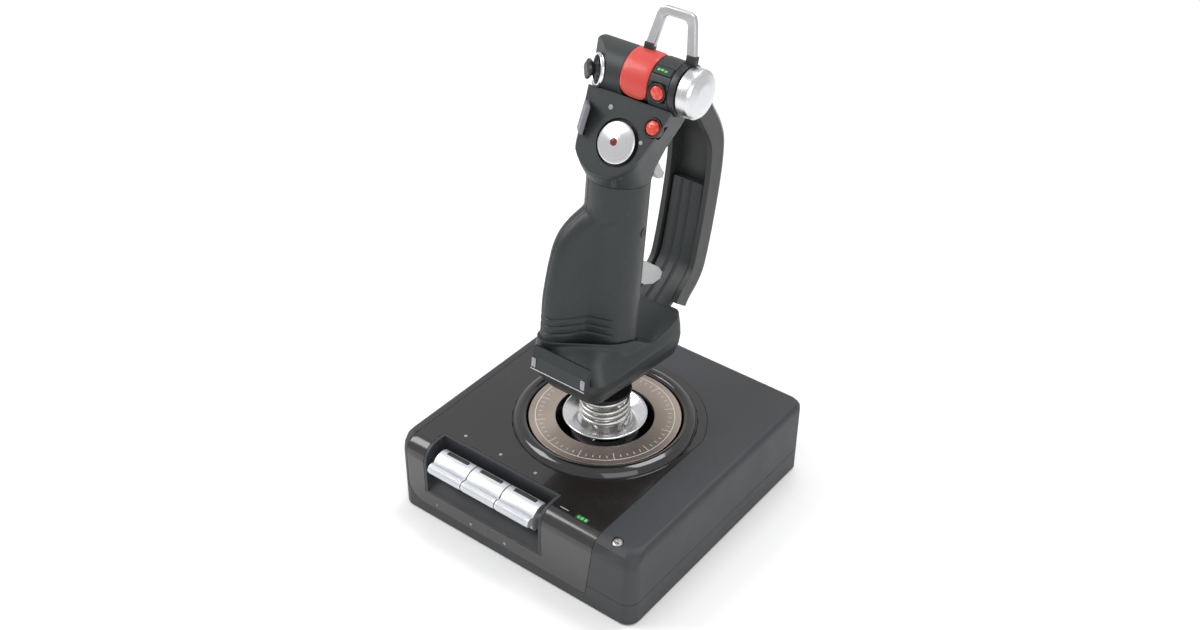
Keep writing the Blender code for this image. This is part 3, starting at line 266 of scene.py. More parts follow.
def lit(name, colour, glow):
    """A lit translucent button: brighter in the middle, with moulded facets."""
    made = Finish(name, colour, 0.18, 0.0, Coat_Weight=0.7, Coat_Roughness=0.05)
    cells = made.node("ShaderNodeTexVoronoi", {}, {"Vector": made.place, "Scale": 520.0}, "Distance")
    heat = made.mix(cells, [min(c * 1.5 + 0.03, 1) for c in colour], [c * 0.6 for c in colour])
    made.set("Base Color", heat)
    made.set("Emission Color", heat)
    made.shader.inputs["Emission Strength"].default_value = glow
    made.relief(cells, 0.5, 0.0004)
    return made


def make_finishes(settings):
    """Every finish by name, with the colours that the user sets."""
    return {
        "charcoal_shell": moulded("shell_finish", settings.shell_colour, 0.5),
        "gloss_panel": glossy("panel_finish", (0.0125, 0.0105, 0.010), 0.17),
        "gloss_ring": glossy("ring_finish", (0.008, 0.008, 0.009), 0.07),
        "black_plastic": moulded("black_finish", (0.013, 0.014, 0.015), 0.34, 1800, 0.15),
        "grip_plastic": moulded("grip_finish", settings.grip_colour, 0.44),
        "guard_plastic": moulded("guard_finish", settings.guard_colour, 0.46),
        "silver_plastic": spun("silver_finish", (0.36, 0.365, 0.375), 0.3, (0, 0, 0), 1500, 0.85),
        "bail_silver": brushed("bail_finish", (0.55, 0.55, 0.57), 0.3, (900, 900, 60), 0.9),
        "toggle_silver": brushed("toggle_finish", (0.72, 0.74, 0.77), 0.32, (40, 900, 900), 0.7),
        "trim_silver": moulded("trim_finish", settings.trim_colour, 0.32, 2200, 0.12, 0.06),
        "lever_silver": moulded("lever_finish", (0.40, 0.41, 0.42), 0.3, 2200, 0.1, 0.05, 0.1),
        "hat_silver": spun("hat_finish", (0.7, 0.7, 0.72), 0.28, FACE.translation, 3200),
        "knob_silver": spun("knob_finish", (0.7, 0.71, 0.73), 0.26, (0.048, 0.025, 0.289), 2600),
        "steel": brushed("steel_finish", (0.66, 0.65, 0.63), 0.24, (600, 600, 600)),
        "warm_metal": scale_plate(settings.plate_colour),
        "chrome": brushed("chrome_finish", (0.84, 0.84, 0.86), 0.12, (300, 300, 300)),
        "dark_chrome": brushed("latch_finish", (0.32, 0.32, 0.36), 0.2, (300, 300, 300)),
        "red_cover": moulded("cover_finish", settings.cover_colour, 0.42, 2600, 0.12, 0.07, 0.2),
        "lit_button": lit("lamp_finish", settings.lamp_colour, settings.lamp_glow),
        "status_green": lit("status_finish", settings.status_colour, settings.status_glow),
        "rubber": moulded("rubber_finish", (0.014, 0.014, 0.014), 0.8, 1400, 0.5),
        "circuit_board": moulded("board_finish", (0.02, 0.16, 0.06), 0.4, 900, 0.2),
        "grey_pad": moulded("pad_finish", (0.17, 0.165, 0.19), 0.5, 2000, 0.2),
        "mark_white": moulded("mark_finish", (0.30, 0.31, 0.32), 0.4, 3000, 0.05, 0.03),
        "dark_slot": moulded("slot_finish", (0.012, 0.012, 0.013), 0.5, 1500, 0.1),
        "dark_red": moulded("dot_finish", (0.16, 0.01, 0.012), 0.25, 2000, 0.08),
    }


FINISHES = {}


# Surfaces ---------------------------------------------------------------------------------------

def settle(name, points, faces, body, finish, replaced=(), smooth=40):
    """Puts a mesh of world points in the scene, rides it on a body and gives it a finish."""
    mesh = bpy.data.meshes.new(name)
    mesh.from_pydata(np.asarray(points).tolist(), [], faces)
    mesh.validate()
    form = bmesh.new()
    form.from_mesh(mesh)
    bmesh.ops.remove_doubles(form, verts=form.verts, dist=0.000002)
    bmesh.ops.recalc_face_normals(form, faces=form.faces)
    form.to_mesh(mesh)
    form.free()
    mesh.shade_smooth()
    mesh.set_sharp_from_angle(angle=math.radians(smooth))
    made = bpy.data.objects.new(name, mesh)
    bpy.context.scene.collection.objects.link(made)
    mesh.materials.append(FINISHES[finish].material)
    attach(made, body)
    if replaced:
        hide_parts(*replaced)
    return made


def grid_faces(rows, columns, round_rows, round_columns):
    """Quads over a grid of points, closed one way, both ways or neither."""
    r = np.arange(rows if round_rows else rows - 1)[:, None]
    c = np.arange(columns if round_columns else columns - 1)[None, :]
    a = r * columns + c
    b = r * columns + (c + 1) % columns
    d = ((r + 1) % rows) * columns + c
    e = ((r + 1) % rows) * columns + (c + 1) % columns
    return np.stack([a, b, e, d], -1).reshape(-1, 4).tolist()


def moved(points, place):
    """World points of points in a frame: the frame's matrix times each point."""
    matrix = np.array(place)
    return points @ matrix[:3, :3].T + matrix[:3, 3]


def soften(profile, radius, ring):
    """A profile with its corners cut to a quadratic arc of about a radius."""
    points = np.array(profile, float) * MM
    line = []
    count = len(points)
    for i, point in enumerate(points):
        if not ring and i in (0, count - 1):
            line.append(point[None])
            continue
        before = points[i - 1]
        after = points[(i + 1) % count]
        reach = [min(radius * MM, 0.45 * np.linalg.norm(end - point)) for end in (before, after)]
        start = point + (before - point) / np.linalg.norm(before - point) * reach[0]
        end = point + (after - point) / np.linalg.norm(after - point) * reach[1]
        t = np.linspace(0, 1, 6)[:, None]
        line.append((1 - t) ** 2 * start + 2 * t * (1 - t) * point + t ** 2 * end)
    return np.vstack(line)


def lathe(name, profile, place, body, finish, replaced=(), ring=False, radius=0.5, steps=128, lobes=None):
    """A profile of (radius, height) in mm turned round Z of a frame; lobes = (count, share) swells it."""
    line = soften(profile, radius, ring)
    line[:, 0] = np.maximum(line[:, 0], 0.00002)
    turn = np.linspace(0, 2 * math.pi, steps, endpoint=False)
    count, share = lobes or (0, 0)
    swell = 1 + share * np.cos(count * turn)
    across = line[:, None, 0] * swell
    points = np.stack([across * np.cos(turn), across * np.sin(turn),
                       np.broadcast_to(line[:, None, 1], across.shape)], -1).reshape(-1, 3)
    faces = grid_faces(len(line), steps, ring, True)
    if not ring:
        faces += [list(range(steps)), list(range((len(line) - 1) * steps, len(line) * steps))]
    return settle(name, moved(points, place), faces, body, finish, replaced)


def tube(name, line, radius, body, finish, replaced=(), sides=16):
    """A round section carried along a line, square to the way it runs."""
    way = np.gradient(line, axis=0)
    way /= np.linalg.norm(way, axis=1)[:, None]
    side = np.cross(way, np.array([0.03, 0.02, 1.0]))
    side /= np.linalg.norm(side, axis=1)[:, None]
    up = np.cross(side, way)
    turn = np.linspace(0, 2 * math.pi, sides, endpoint=False)
    points = (line[:, None] + radius * (np.cos(turn)[None, :, None] * side[:, None]
                                        + np.sin(turn)[None, :, None] * up[:, None])).reshape(-1, 3)
    faces = grid_faces(len(line), sides, False, True)
    faces += [list(range(sides)), list(range((len(line) - 1) * sides, len(line) * sides))]
    return settle(name, points, faces, body, finish, replaced)


def tablet(name, outline, height, place, body, finish, edge=0.15, sink=0.3):
    """A flat outline (mm, in a frame's XY) raised by a height, with a small round on its upper edge."""
    points = np.array(outline, float) * MM
    middle = points.mean(0)
    reach = np.linalg.norm(points - middle, axis=1).max()
    rows = [(1, -sink * MM), (1, (height - edge) * MM), (1 - 0.4 * edge * MM / reach, (height - edge * 0.3) * MM),
            (1 - edge * MM / reach, height * MM)]
    stack = np.concatenate([np.column_stack([middle + (points - middle) * s, np.full(len(points), z)])
                            for s, z in rows])
    count = len(points)
    faces = grid_faces(len(rows), count, False, True)
    faces += [list(range(count)), list(range(3 * count, 4 * count))]
    return settle(name, moved(stack, place), faces, body, finish)


def rounded_box(half_x, half_y, radius, centre=(0, 0), per=7):
    """The outline of a rectangle with quarter-circle corners, in mm."""
    a = np.linspace(0, math.pi / 2, per)
    arc = np.column_stack([np.cos(a), np.sin(a)]) * radius
    corner = np.array([half_x - radius, half_y - radius])
    first = corner + arc
    outline = np.vstack([first, first[::-1] * (-1, 1), -first, first[::-1] * (1, -1)])
    return outline + np.array(centre)


def disc(radius, count=28):
    """The outline of a disc, in mm: radius times the cosine and sine of an even turn."""
    a = np.linspace(0, 2 * math.pi, count, endpoint=False)
    return np.column_stack([np.cos(a), np.sin(a)]) * radius


def refined(node, finish, body, smooth=35):
    """A CAD node's own shape with its coplanar triangles joined and its curved sides smooth."""
    source = frame["nodes"][node]
    form = bmesh.new()
    form.from_mesh(source.data)
    form.transform(source.matrix_world)
    bmesh.ops.remove_doubles(form, verts=form.verts, dist=0.000002)
    bmesh.ops.dissolve_limit(form, angle_limit=math.radians(0.3), verts=form.verts, edges=form.edges)
    mesh = bpy.data.meshes.new(node + "_finished")
    form.to_mesh(mesh)
    form.free()
    mesh.shade_smooth()
    mesh.set_sharp_from_angle(angle=math.radians(smooth))
    made = bpy.data.objects.new(node + "_finished", mesh)
    bpy.context.scene.collection.objects.link(made)
    mesh.materials.clear()
    mesh.materials.append(FINISHES[finish].material)
    even = made.modifiers.new("even_normals", "WEIGHTED_NORMAL")
    even.keep_sharp = True
    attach(made, body)
    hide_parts(node)
    return made


# Base -------------------------------------------------------------------------------------------

def deck_place(x, y, z=DECK):
    """A frame on the deck, Z up."""
    return Matrix.Translation((x, y, z))


def front_place(x, z):
    """A frame on the front wall: X to the right, Y up, Z towards the user."""
    return Matrix(((1, 0, 0, x), (0, 0, -1, FRONT), (0, 1, 0, z), (0, 0, 0, 1)))


def build_base():
    """Refined shells, panel and bezel; feet and gland are profiles turned round Z; marks are raised outlines."""
    for node in ("base_shell", "base_tray", "toggle_bezel"):
        refined(node, "charcoal_shell", "base")
    refined("panel_insert", "gloss_panel", "base")
    for number in range(1, 5):
        low, high = (np.array(corner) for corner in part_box(f"rubber_foot_{number}"))
        x, y = ((low + high) / 2)[:2]
        lathe(f"foot_pad_{number}", [(0, 2.6), (9, 2.6), (9, 0), (6.5, 0), (6.1, 0.5), (0, 0.5)],
              deck_place(x, y, 0), "base", "rubber", (f"rubber_foot_{number}",), radius=0.6, steps=48)
    refined("top_screw", "steel", "base")
    for x, y in ((-58, -69), (-29, -69), (-1, -69)):
        tablet(f"top_dot_{-x}", disc(1.1), 0.08, deck_place(x * MM, y * MM), "base", "mark_white", 0.03)
    for x in (-62, -33, -5):
        tablet(f"front_dot_{-x}", disc(1.0), 0.08, front_place(x * MM, 12.5 * MM), "base", "mark_white", 0.03)
    tablet("light_slot", rounded_box(4.6, 2.0, 0.9), 0.1, deck_place(46.8 * MM, -83.2 * MM), "base", "dark_slot",
           0.05)
    for i in range(3):
        tablet(f"status_lamp_{i + 1}", rounded_box(0.9, 1.2, 0.4), 0.22,
               deck_place((44.2 + 2.6 * i) * MM, -83.2 * MM), "base", "status_green", 0.08)
    tablet("deck_mark", rounded_box(3.2, 0.35, 0.15), 0.08, deck_place(33 * MM, -82.8 * MM), "base", "mark_white",
           0.03)
    lathe("gland_sleeve", [(5.5, 3.9), (5.5, 0.3), (4, 0.3), (4, -4.5), (2.2, -4.5), (2.2, 3.9)],
          square((0, -FRONT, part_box("cable_gland")[0][2] + 5.5 * MM), (0, 1, 0)), "base", "rubber",
          ("cable_gland",), True, 0.5, 48)


# Toggles ----------------------------------------------------------------------------------------

def build_toggles(settings):
    """Each rocker: its shell, a ribbed finger bar and dark slots on its crown.

    The bar is a turned profile whose radius is its mean plus a share of the cosine of ribs x pi x run.
    """
    refined("toggle_axle", "steel", "base")
    for number in (1, 2, 3):
        body = f"toggle_{number}"
        refined(body, "toggle_silver", body)
        low, high = (np.array(corner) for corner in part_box(body))
        middle = (low[0] + high[0]) / 2
        bar_y = low[1] + 3.4 * MM
        bar_z = 0.0436
        ribs = settings.bar_ribs
        run = np.linspace(-1, 1, 6 * ribs + 1)
        swell = 3.52 * MM + 0.16 * MM * np.cos(run * ribs * math.pi)
        ends = np.clip((1 - np.abs(run)) * 40, 0, 1)
        line = np.column_stack([swell * (0.86 + 0.14 * ends), run * 12.4 * MM]) / MM
        turn = Matrix.Translation((middle, bar_y, bar_z)) @ Matrix.Rotation(math.pi / 2, 4, "Y")
        profile = np.vstack([[0, line[0, 1]], line, [0, line[-1, 1]]])
        lathe(f"finger_bar_{number}", profile.tolist(), turn, body, "toggle_silver", (), False, 0.02, 40)
        top = Matrix.Translation((middle, -0.0847, 0.0501)) @ Matrix.Rotation(math.radians(5), 4, "X")
        tablet(f"toggle_slot_{number}", rounded_box(8.8, 1.7, 1.0), 0.16, top, body, "dark_slot", 0.06)


# Gimbal -----------------------------------------------------------------------------------------

def build_gimbal(settings):
    """Turned rings, dish, collar and shaft, and the spring as a tube along a helix.

    The helix has one radius and a turn that grows evenly; its height grows by t plus a small sine, so the middle
    coils lie closer together than the end ones.
    """
    d = DECK / MM
    lathe("bright_ring", [(54, d + 5.2), (57.6, d + 3.6), (59.6, d + 0.4), (59.6, d - 1.2), (49.8, d - 1.2),
                          (49.8, d + 1.6), (51.5, d + 4.4)], AXIS, "base", "gloss_ring", ("gloss_ring",), True,
          1.5, 192)
    lathe("scale_plate", [(49.1, d + 2.6), (49.1, d + 1.2), (31.8, d + 1.2), (31.8, d + 2.6)], AXIS, "base",
          "warm_metal", ("gimbal_plate",), True, 0.25, 192)
    lathe("well", [(48.5, d + 0.9), (48.5, d - 1.6), (35.2, d - 1.6), (35.2, 22), (31.7, 22), (31.7, d + 0.9)],
          AXIS, "base", "black_plastic", ("gimbal_housing",), True, 0.3, 128)
    lathe("dish", [(26.7, d + 5.7), (27.4, d + 4.9), (27.3, d + 3.9), (17.5, d - 2.4), (8.3, d - 2.4),
                   (8.3, d - 0.6), (17.5, d - 0.6)], AXIS, "dish", "chrome", ("centring_dish",), True, 0.9, 160)
    lathe("collar", [(17, 80.4), (17, 78.4), (8.3, 78.4), (8.3, 80.4)], AXIS, "shaft", "black_plastic",
          ("spring_collar",), True, 0.5, 96)
    low, high = (np.array(corner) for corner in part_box("centring_spring"))
    start = low[2] + 1.42 * MM
    end = high[2] - 1.42 * MM
    turns = settings.spring_turns
    t = np.linspace(0, 1, turns * 40 + 1)
    rise = t + 0.05 * np.sin(2 * math.pi * t)
    angle = 2 * math.pi * turns * t
    helix = np.column_stack([SPRING_RADIUS * np.cos(angle), SPRING_RADIUS * np.sin(angle),
                             start + (end - start) * rise])
    tube("spring", helix, settings.spring_wire, "shaft", "steel", ("centring_spring",))
    refined("stick_shaft", "steel", "shaft")
    refined("gimbal_ring", "silver_plastic", "gimbal_ring")


# Grip -------------------------------------------------------------------------------------------

def belt(circles, count):
    """A taut belt round circles, in even steps of its length from the front: each angle's support point."""
    angles = np.linspace(math.pi / 2, math.pi * 5 / 2, 720, endpoint=False)
    facing = np.stack([np.cos(angles), np.sin(angles)], 1)
    centres = np.array([c[:2] for c in circles])
    radii = np.array([c[2] for c in circles])
    widest = np.argmax(facing @ centres.T + radii, axis=1)
    points = centres[widest] + facing * radii[widest, None]
    points = np.vstack([points, points[:1]])
    walk = np.concatenate([[0], np.cumsum(np.linalg.norm(np.diff(points, axis=0), axis=1))])
    even = np.linspace(0, walk[-1], count, endpoint=False)
    return np.column_stack([np.interp(even, walk, points[:, k]) for k in range(2)])


def flow(points, per=10):
    """A smooth line through points: each stretch is the cubic that Catmull and Rom give."""
    points = np.array([points[0], *points, points[-1]], float)
    t = np.linspace(0, 1, per, endpoint=False)[:, None]
    line = [0.5 * (2 * b + (c - a) * t + (2 * a - 5 * b + 4 * c - d) * t ** 2 + (3 * b - a - 3 * c + d) * t ** 3)
            for a, b, c, d in zip(points, points[1:], points[2:], points[3:])]
    return np.vstack([*line, points[-1:]])


def ribbon(name, line, half, thick, body, finish, replaced=(), grooves=(), taper=0.0):
    """A strip carried along a (v, w) line in mm: a rounded rectangle whose thickness lies right of the way."""
    way = np.gradient(line, axis=0)
    way /= np.linalg.norm(way, axis=1)[:, None]
    left = np.column_stack([-way[:, 1], way[:, 0]])
    section = rounded_box(half, thick / 2, min(thick / 2.2, 1.2), (0, -thick / 2), 6)
    across = np.linspace(-half * 0.9, half * 0.9, 80)
    dip = sum(0.9 * np.exp(-((across - spot) / 0.9) ** 4) for spot in grooves) if grooves else 0 * across
    upper = np.column_stack([across[::-1], -dip[::-1]])
    count = len(section) // 4
    loop = np.vstack([section[:count], upper[1:-1], section[count:]])
    share = 1 - taper * np.linspace(0, 1, len(line)) ** 6
    u = loop[None, :, 0] * share[:, None]
    v = line[:, None, 0] + left[:, None, 0] * loop[None, :, 1]
    w = line[:, None, 1] + left[:, None, 1] * loop[None, :, 1]
    points = np.stack([u, v, w], -1).reshape(-1, 3) * MM
    faces = grid_faces(len(line), len(loop), False, True)
    faces += [list(range(len(loop))), list(range((len(line) - 1) * len(loop), len(line) * len(loop)))]
    return settle(name, moved(points, LEANED), faces, body, finish, replaced, 50)


def build_hand_rest():
    """The hand rest: belts round five circles that drift from level to level, then a scooped top."""
    levels = np.array([3.6, 7, 12, 18, 25, 31, 38, 46])
    table = np.array([
        [(0, -8, 11), (0, -8, 11), (0, 8, 11), (0, 8, 11), (0, 0, 11)],
        [(-8, -18, 8), (7, -18, 8), (-7, 22, 8), (8, 22, 8), (0, 0, 14)],
        [(-13, -25, 7), (12, -25, 7), (-11, 31, 7), (12, 32, 7), (0, 0, 18)],
        [(-17, -29.4, 7), (16, -29.4, 7), (-15, 41, 7), (17, 42, 7), (0, 0, 20)],
        [(-19.4, -31.4, 7.6), (18.4, -31.4, 7.6), (-16.5, 43, 6.5), (19, 44, 6.5), (0, 0, 21)],
        [(-20, -31.8, 8), (18.5, -31.8, 8), (-17, 44, 6), (19.5, 45, 6), (0, 0, 21)],
        [(-19, -30.8, 9), (8, -24, 10), (-16.5, 44, 6), (18.5, 45, 6), (0, 0, 21.2)],
        [(-18, -29.6, 9.6), (-4, -8, 14), (-16, 43, 6), (17, 44, 6), (0, 0, 21)]], float)
    fine = np.linspace(3.6, 46, 46)
    count = ROUND_STEPS
    rings = []
    for level in fine:
        circles = [[np.interp(level, levels, table[:, i, k]) for k in range(3)] for i in range(5)]
        rings.append(np.column_stack([belt(circles, count), np.full(count, level)]))
    scoop = flow([(-45, 46), (-12, 46), (2, 44), (17, 37.2), (30, 38.7), (40, 42), (50, 47), (56, 51)])
    rows = [ring.copy() for ring in rings]
    for row in rows:
        row[:, 2] = np.minimum(row[:, 2], np.interp(row[:, 1], scoop[:, 0], scoop[:, 1]))
    pocket = belt([(0, 0, 19.7), (-18, -29.6, 8.7)], count)
    brim = rows[-1]
    for share in np.linspace(0.06, 1, 12):
        flat = brim[:, :2] * (1 - share) + pocket * share
        rows.append(np.column_stack([flat, np.interp(flat[:, 1], scoop[:, 0], scoop[:, 1])
                                     + 0.5 * math.sin(math.pi * share)]))
    rows.append(np.column_stack([pocket, np.full(count, 28.0)]))
    hole = belt([(0, 0.5, 10.5)], count)
    rows.append(np.column_stack([hole, np.full(count, 27.0)]))
    rows.append(np.column_stack([hole, np.full(count, 3.6)]))
    points = np.vstack(rows) * MM
    settle("rest_body", moved(points, LEANED), grid_faces(len(rows), count, True, True), "hand_rest",
           "grip_plastic", ("hand_rest",), 48)
    line = flow([(38, 40.6), (45, 44), (50, 47), (59, 54), (66, 61), (70.8, 69.5), (73.5, 85), (75.2, 103),
                 (76.5, 121)])
    ribbon("rest_tongue", line, 12.4, 4.6, "hand_rest", "grip_plastic", (), (-4.5, 2.5), 0.08)


def build_grip():
    """The grip: a belt round the column and the palm flange at each level.

    The flange's centre drifts with the level. The skin is then pressed in along its own outward way by three
    things: a hollow between flange and column, the gills, and a narrow seam, each a bump of the place.
    """
    levels = np.unique(np.concatenate([np.linspace(26.6, 46, 10), np.arange(46, 64, 0.3), np.linspace(64, 150, 60)]))
    heights = [26, 73, 93, 108, 118, 126, 134]
    ease = np.linspace(26, 134, 220)
    smooth = np.ones(25) / 25
    across = np.convolve(np.pad(np.interp(ease, heights, [-18, -18, -17, -16, -14, -10, -4]), 12, "edge"),
                         smooth, "valid")
    behind = np.convolve(np.pad(np.interp(ease, heights, [-29.6, -29.6, -27.6, -25, -20.5, -13, -5]), 12, "edge"),
                         smooth, "valid")
    rows = []
    for level in levels:
        u = np.interp(level, ease, across)
        v = np.interp(level, ease, behind)
        ring = belt([(0, 0, COLUMN_RADIUS), (u, v, FLANGE_RADIUS)], ROUND_STEPS)
        out = ring - np.array([u * 0.45, v * 0.45])
        out /= np.linalg.norm(out, axis=1)[:, None]
        side = np.array([u, v])
        length = max(np.linalg.norm(side), 1)
        along = ring @ side / length ** 2
        right = (ring[:, 0] * side[1] - ring[:, 1] * side[0]) / length
        hollow = np.clip(along * (1 - along) * 4, 0, 1) ** 1.5 * np.clip(-right / 8, 0, 1)
        ring = ring - out * (5.2 * min(max(length - 12, 0) / 20, 1) * hollow)[:, None]
        dent = sum(np.exp(-((level - spot) / 0.75) ** 4) for spot in (51.5, 56.5, 61.5))
        reach = np.clip((-ring[:, 1] - 4) / 4, 0, 1) * np.clip((14 - ring[:, 0]) / 3, 0, 1)
        seam = np.exp(-((np.degrees(np.arctan2(ring[:, 1], ring[:, 0])) + 120) / 0.9) ** 2)
        ring = ring - out * (1.1 * dent * reach + 0.5 * seam)[:, None]
        rows.append(np.column_stack([ring, np.full(len(ring), level)]))
    points = np.vstack(rows) * MM
    faces = grid_faces(len(levels), ROUND_STEPS, False, True)
    last = (len(levels) - 1) * ROUND_STEPS
    faces += [list(range(ROUND_STEPS)), list(range(last, last + ROUND_STEPS))]
    settle("grip_skin", moved(points, LEANED), faces, "handle", "grip_plastic",
           ("grip_shell_left", "grip_shell_right"), 50)
    hole = LEANED @ square((18.6 * MM, 3.4 * MM, 118 * MM), (0.98, 0.18, 0))
    lathe("side_port", [(3.2, 0.55), (3.2, -1), (1.9, -1), (1.9, 0.2)], hole, "handle", "black_plastic", (), True,
          0.3, 40)
    lathe("side_port_floor", [(0, 0.1), (2.0, 0.1), (2.0, -0.9), (0, -0.9)], hole, "handle", "dark_slot", (), False,
          0.1, 32)


def build_latch():
    """The latch's own shape, a thin rail along its lower edge and a block at each end."""
    refined("latch_lever", "grip_plastic", "latch_lever")
    rail = np.linspace(-20.6, 20.6, 60)
    line = np.column_stack([rail, np.full(60, -46.4), np.full(60, 29.6)]) * MM
    tube("latch_rail", moved(line, LEANED), 0.45 * MM, "latch_lever", "dark_chrome", (), 20)
    for side in (-1, 1):
        block = LEANED @ square((side * 18.6 * MM, -46.0 * MM, 34 * MM), (0, -1, 0))
        tablet(f"latch_block_{side + 1}", rounded_box(1.6, 3.4, 0.8), 0.6, block, "latch_lever", "dark_chrome", 0.3)


# Guard ------------------------------------------------------------------------------------------

def build_guard():
    """The guard, its bright strip carried along a smooth line, the two levers and their pins."""
    refined("hand_guard", "guard_plastic", "handle")
    edge = flow([(61, 189), (72.5, 175.5), (81, 164.5), (87, 152.5), (88.9, 137), (88.7, 121), (86.8, 97.6),
                 (83.6, 74), (80.4, 61), (74.7, 52.5), (67.8, 46), (64.3, 40.8)])
    ribbon("guard_strip", edge, 16.3, 1.5, "handle", "trim_silver", ("guard_trim",))
    refined("trigger", "lever_silver", "trigger")
    refined("pinkie_lever", "lever_silver", "pinkie_lever")
    for node in ("trigger_pin", "pinkie_pin"):
        refined(node, "steel", "handle")


# Head -------------------------------------------------------------------------------------------

def icon(name, u, up, radius=1.5):
    """A small printed disc on the face plate."""
    spot = FACE @ Matrix.Translation((u * MM, up * MM, 0))
    tablet(name, disc(radius), 0.06, spot, "handle", "mark_white", 0.02)


def build_head():
    """Refined shells; the buttons and their surrounds are profiles turned round the way they press."""
    refined("head_shell", "grip_plastic", "handle")
    refined("face_plate", "grip_plastic", "handle")
    refined("status_lens", "dark_slot", "handle")
    angle = math.radians(132)
    facing = (LEANED @ square((0, 0, 0), (0, math.cos(angle), math.sin(angle)))).to_quaternion()
    low, high = (np.array(corner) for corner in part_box("status_lens"))
    spot = Matrix.Translation(Vector((low + high) / 2)) @ facing.to_matrix().to_4x4()
    for number, (x, y) in enumerate(((-2.9, 0), (-0.6, 0.2), (1.8, -0.1))):
        tablet(f"status_segment_{number + 1}", rounded_box(0.95, 0.62, 0.3, (x, y)), 0.86, spot, "handle",
               "status_green", 0.1)
    refined("thumb_button", "grey_pad", "thumb_button")
    for name, place, body in (("fire_a", FIRE_A, "fire_a_button"), ("fire_b", FIRE_B, "fire_b_button")):
        lathe(name + "_surround", [(5.6, 0.75), (5.6, -3), (4.6, -3), (4.6, 0.4), (5.0, 0.75)], place, "handle",
              "black_plastic", (name + "_bezel",), True, 0.3, 64)
        lathe(name + "_cap", [(0, 1.9), (2.2, 1.8), (4.2, 0.9), (4.3, -2.6), (0, -2.6)], place, body, "lit_button",
              (name + "_button",), False, 0.8, 64, (6, 0.012))
    lathe("launch_cap", [(0, -0.4), (4.3, -1.2), (4.3, -3), (0, -3)],
          LEANED @ square((9.25 * MM, -5.9 * MM, 209 * MM), (0, -1, 0)), "launch_button", "red_cover",
          ("launch_button",), False, 0.5, 48)
    icon("icon_left", -11.5, 17.5)
    icon("icon_middle", 14.5, 4.5, 1.2)


def build_hats():
    """Both hats: profiles turned round their own lines, the small crown swelled by four lobes."""
    lathe("hat_cone", [(0, 4.4), (2.3, 4.1), (2.9, 3.9), (11.6, 1.95), (12.4, 1.3), (12.0, 0.6), (3, 0.6),
                       (1.8, -1), (1.8, -8), (0, -8)], FACE, "hat_cap", "hat_silver", ("hat_cap",), False, 0.5, 144)
    lathe("hat_dot", [(0, 4.95), (1.6, 4.8), (2.3, 4.3), (2.3, 3.9), (0, 3.9)], FACE, "hat_cap", "dark_red", (),
          False, 0.4, 48)
    lathe("small_hat_surround", [(9.8, 1.4), (9.8, 0.3), (8.2, 0.3), (8.2, 2.2), (9.0, 2.6)], SMALL_HAT, "handle",
          "chrome", ("small_hat_bezel",), True, 0.6, 96)
    lathe("small_hat_crown", [(0, 8.6), (3.4, 8.6), (5.4, 8.0), (5.5, 6.4), (3.4, 4.6), (3.0, 3.2), (4.6, 1.2),
                              (1.8, 0.9), (1.8, -6), (0, -6)], SMALL_HAT, "small_hat_cap", "black_plastic",
          ("small_hat_cap",), False, 0.7, 96, (4, 0.12))


def build_cover():
    """The cover, bail, band and knob.

    The cover is a thin rounded bar carried round the barrel between two angles. Near its tail its width shrinks
    by the square root of one less the square of the way left, a quarter ellipse.
    """
    lip, end = 78.5, 212
    turn = np.radians(np.linspace(lip, end, 110))
    tail = np.clip((np.radians(end) - turn) * 16 / 8.0, 0, 1)
    half = 9.1 * (0.42 + 0.58 * np.sqrt(np.clip(1 - (1 - tail) ** 2, 0, 1)))
    section = rounded_box(1, 0.9, 0.5, (0, 15.1), 5)
    u = 9.25 + section[None, :, 0] * half[:, None]
    reach = np.broadcast_to(section[None, :, 1], u.shape)
    v = BARREL[0] / MM + reach * np.cos(turn)[:, None]
    w = BARREL[1] / MM + reach * np.sin(turn)[:, None]
    points = np.stack([u, v, w], -1).reshape(-1, 3) * MM
    size = len(section)
    faces = grid_faces(len(turn), size, False, True)
    faces += [list(range(size)), list(range((len(turn) - 1) * size, len(turn) * size))]
    settle("cover_shell", moved(points, LEANED), faces, "cover", "red_cover", ("safety_cover",), 45)
    bail = refined("bail", "bail_silver", "cover")
    rounding = bail.modifiers.new("rounding", "BEVEL")
    rounding.width = 0.9 * MM
    rounding.segments = 3
    # Painted shade: a black block at the foot of each bail leg stands for the shade in the slot where the leg meets
    # the barrel.
    for side in (-1, 1):
        lift = LEANED @ Matrix.Translation((20.5 * MM, BARREL[0], BARREL[1])) @ Matrix.Rotation(
            math.radians(-9), 4, "X") @ Matrix.Translation((side * 14.2 * MM, 0, 16.2 * MM))
        tablet(f"bail_slot_shade_{side + 1}", rounded_box(3.1, 2.3, 0.8), 3.4, lift, "cover", "black_plastic", 0.4, 1.0)
    lathe("bail_band", [(15.3, 36.3), (15.3, 32.1), (12, 32.1), (12, 36.3)], BARREL_LINE, "cover", "black_plastic",
          ("bail_collar",), True, 0.4, 96)
    lathe("knob", [(0, 47.4), (6, 47.2), (7.2, 47.1), (12.8, 45.6), (14.4, 43.8), (14.4, 36.9), (0, 36.9)],
          BARREL_LINE, "mode_knob", "knob_silver", ("mode_knob",), False, 0.5, 144)
    cover_mark = LEANED @ Matrix.Translation((9.25 * MM, BARREL[0], BARREL[1])) @ Matrix.Rotation(
        math.radians(-62), 4, "X") @ Matrix.Translation((0, 0, 15.98 * MM))
    tablet("cover_mark", rounded_box(0.5, 2.2, 0.3), 0.1, cover_mark @ Matrix.Rotation(math.pi, 4, "Z"), "cover",
           "mark_white", 0.03)


# Stage ------------------------------------------------------------------------------------------

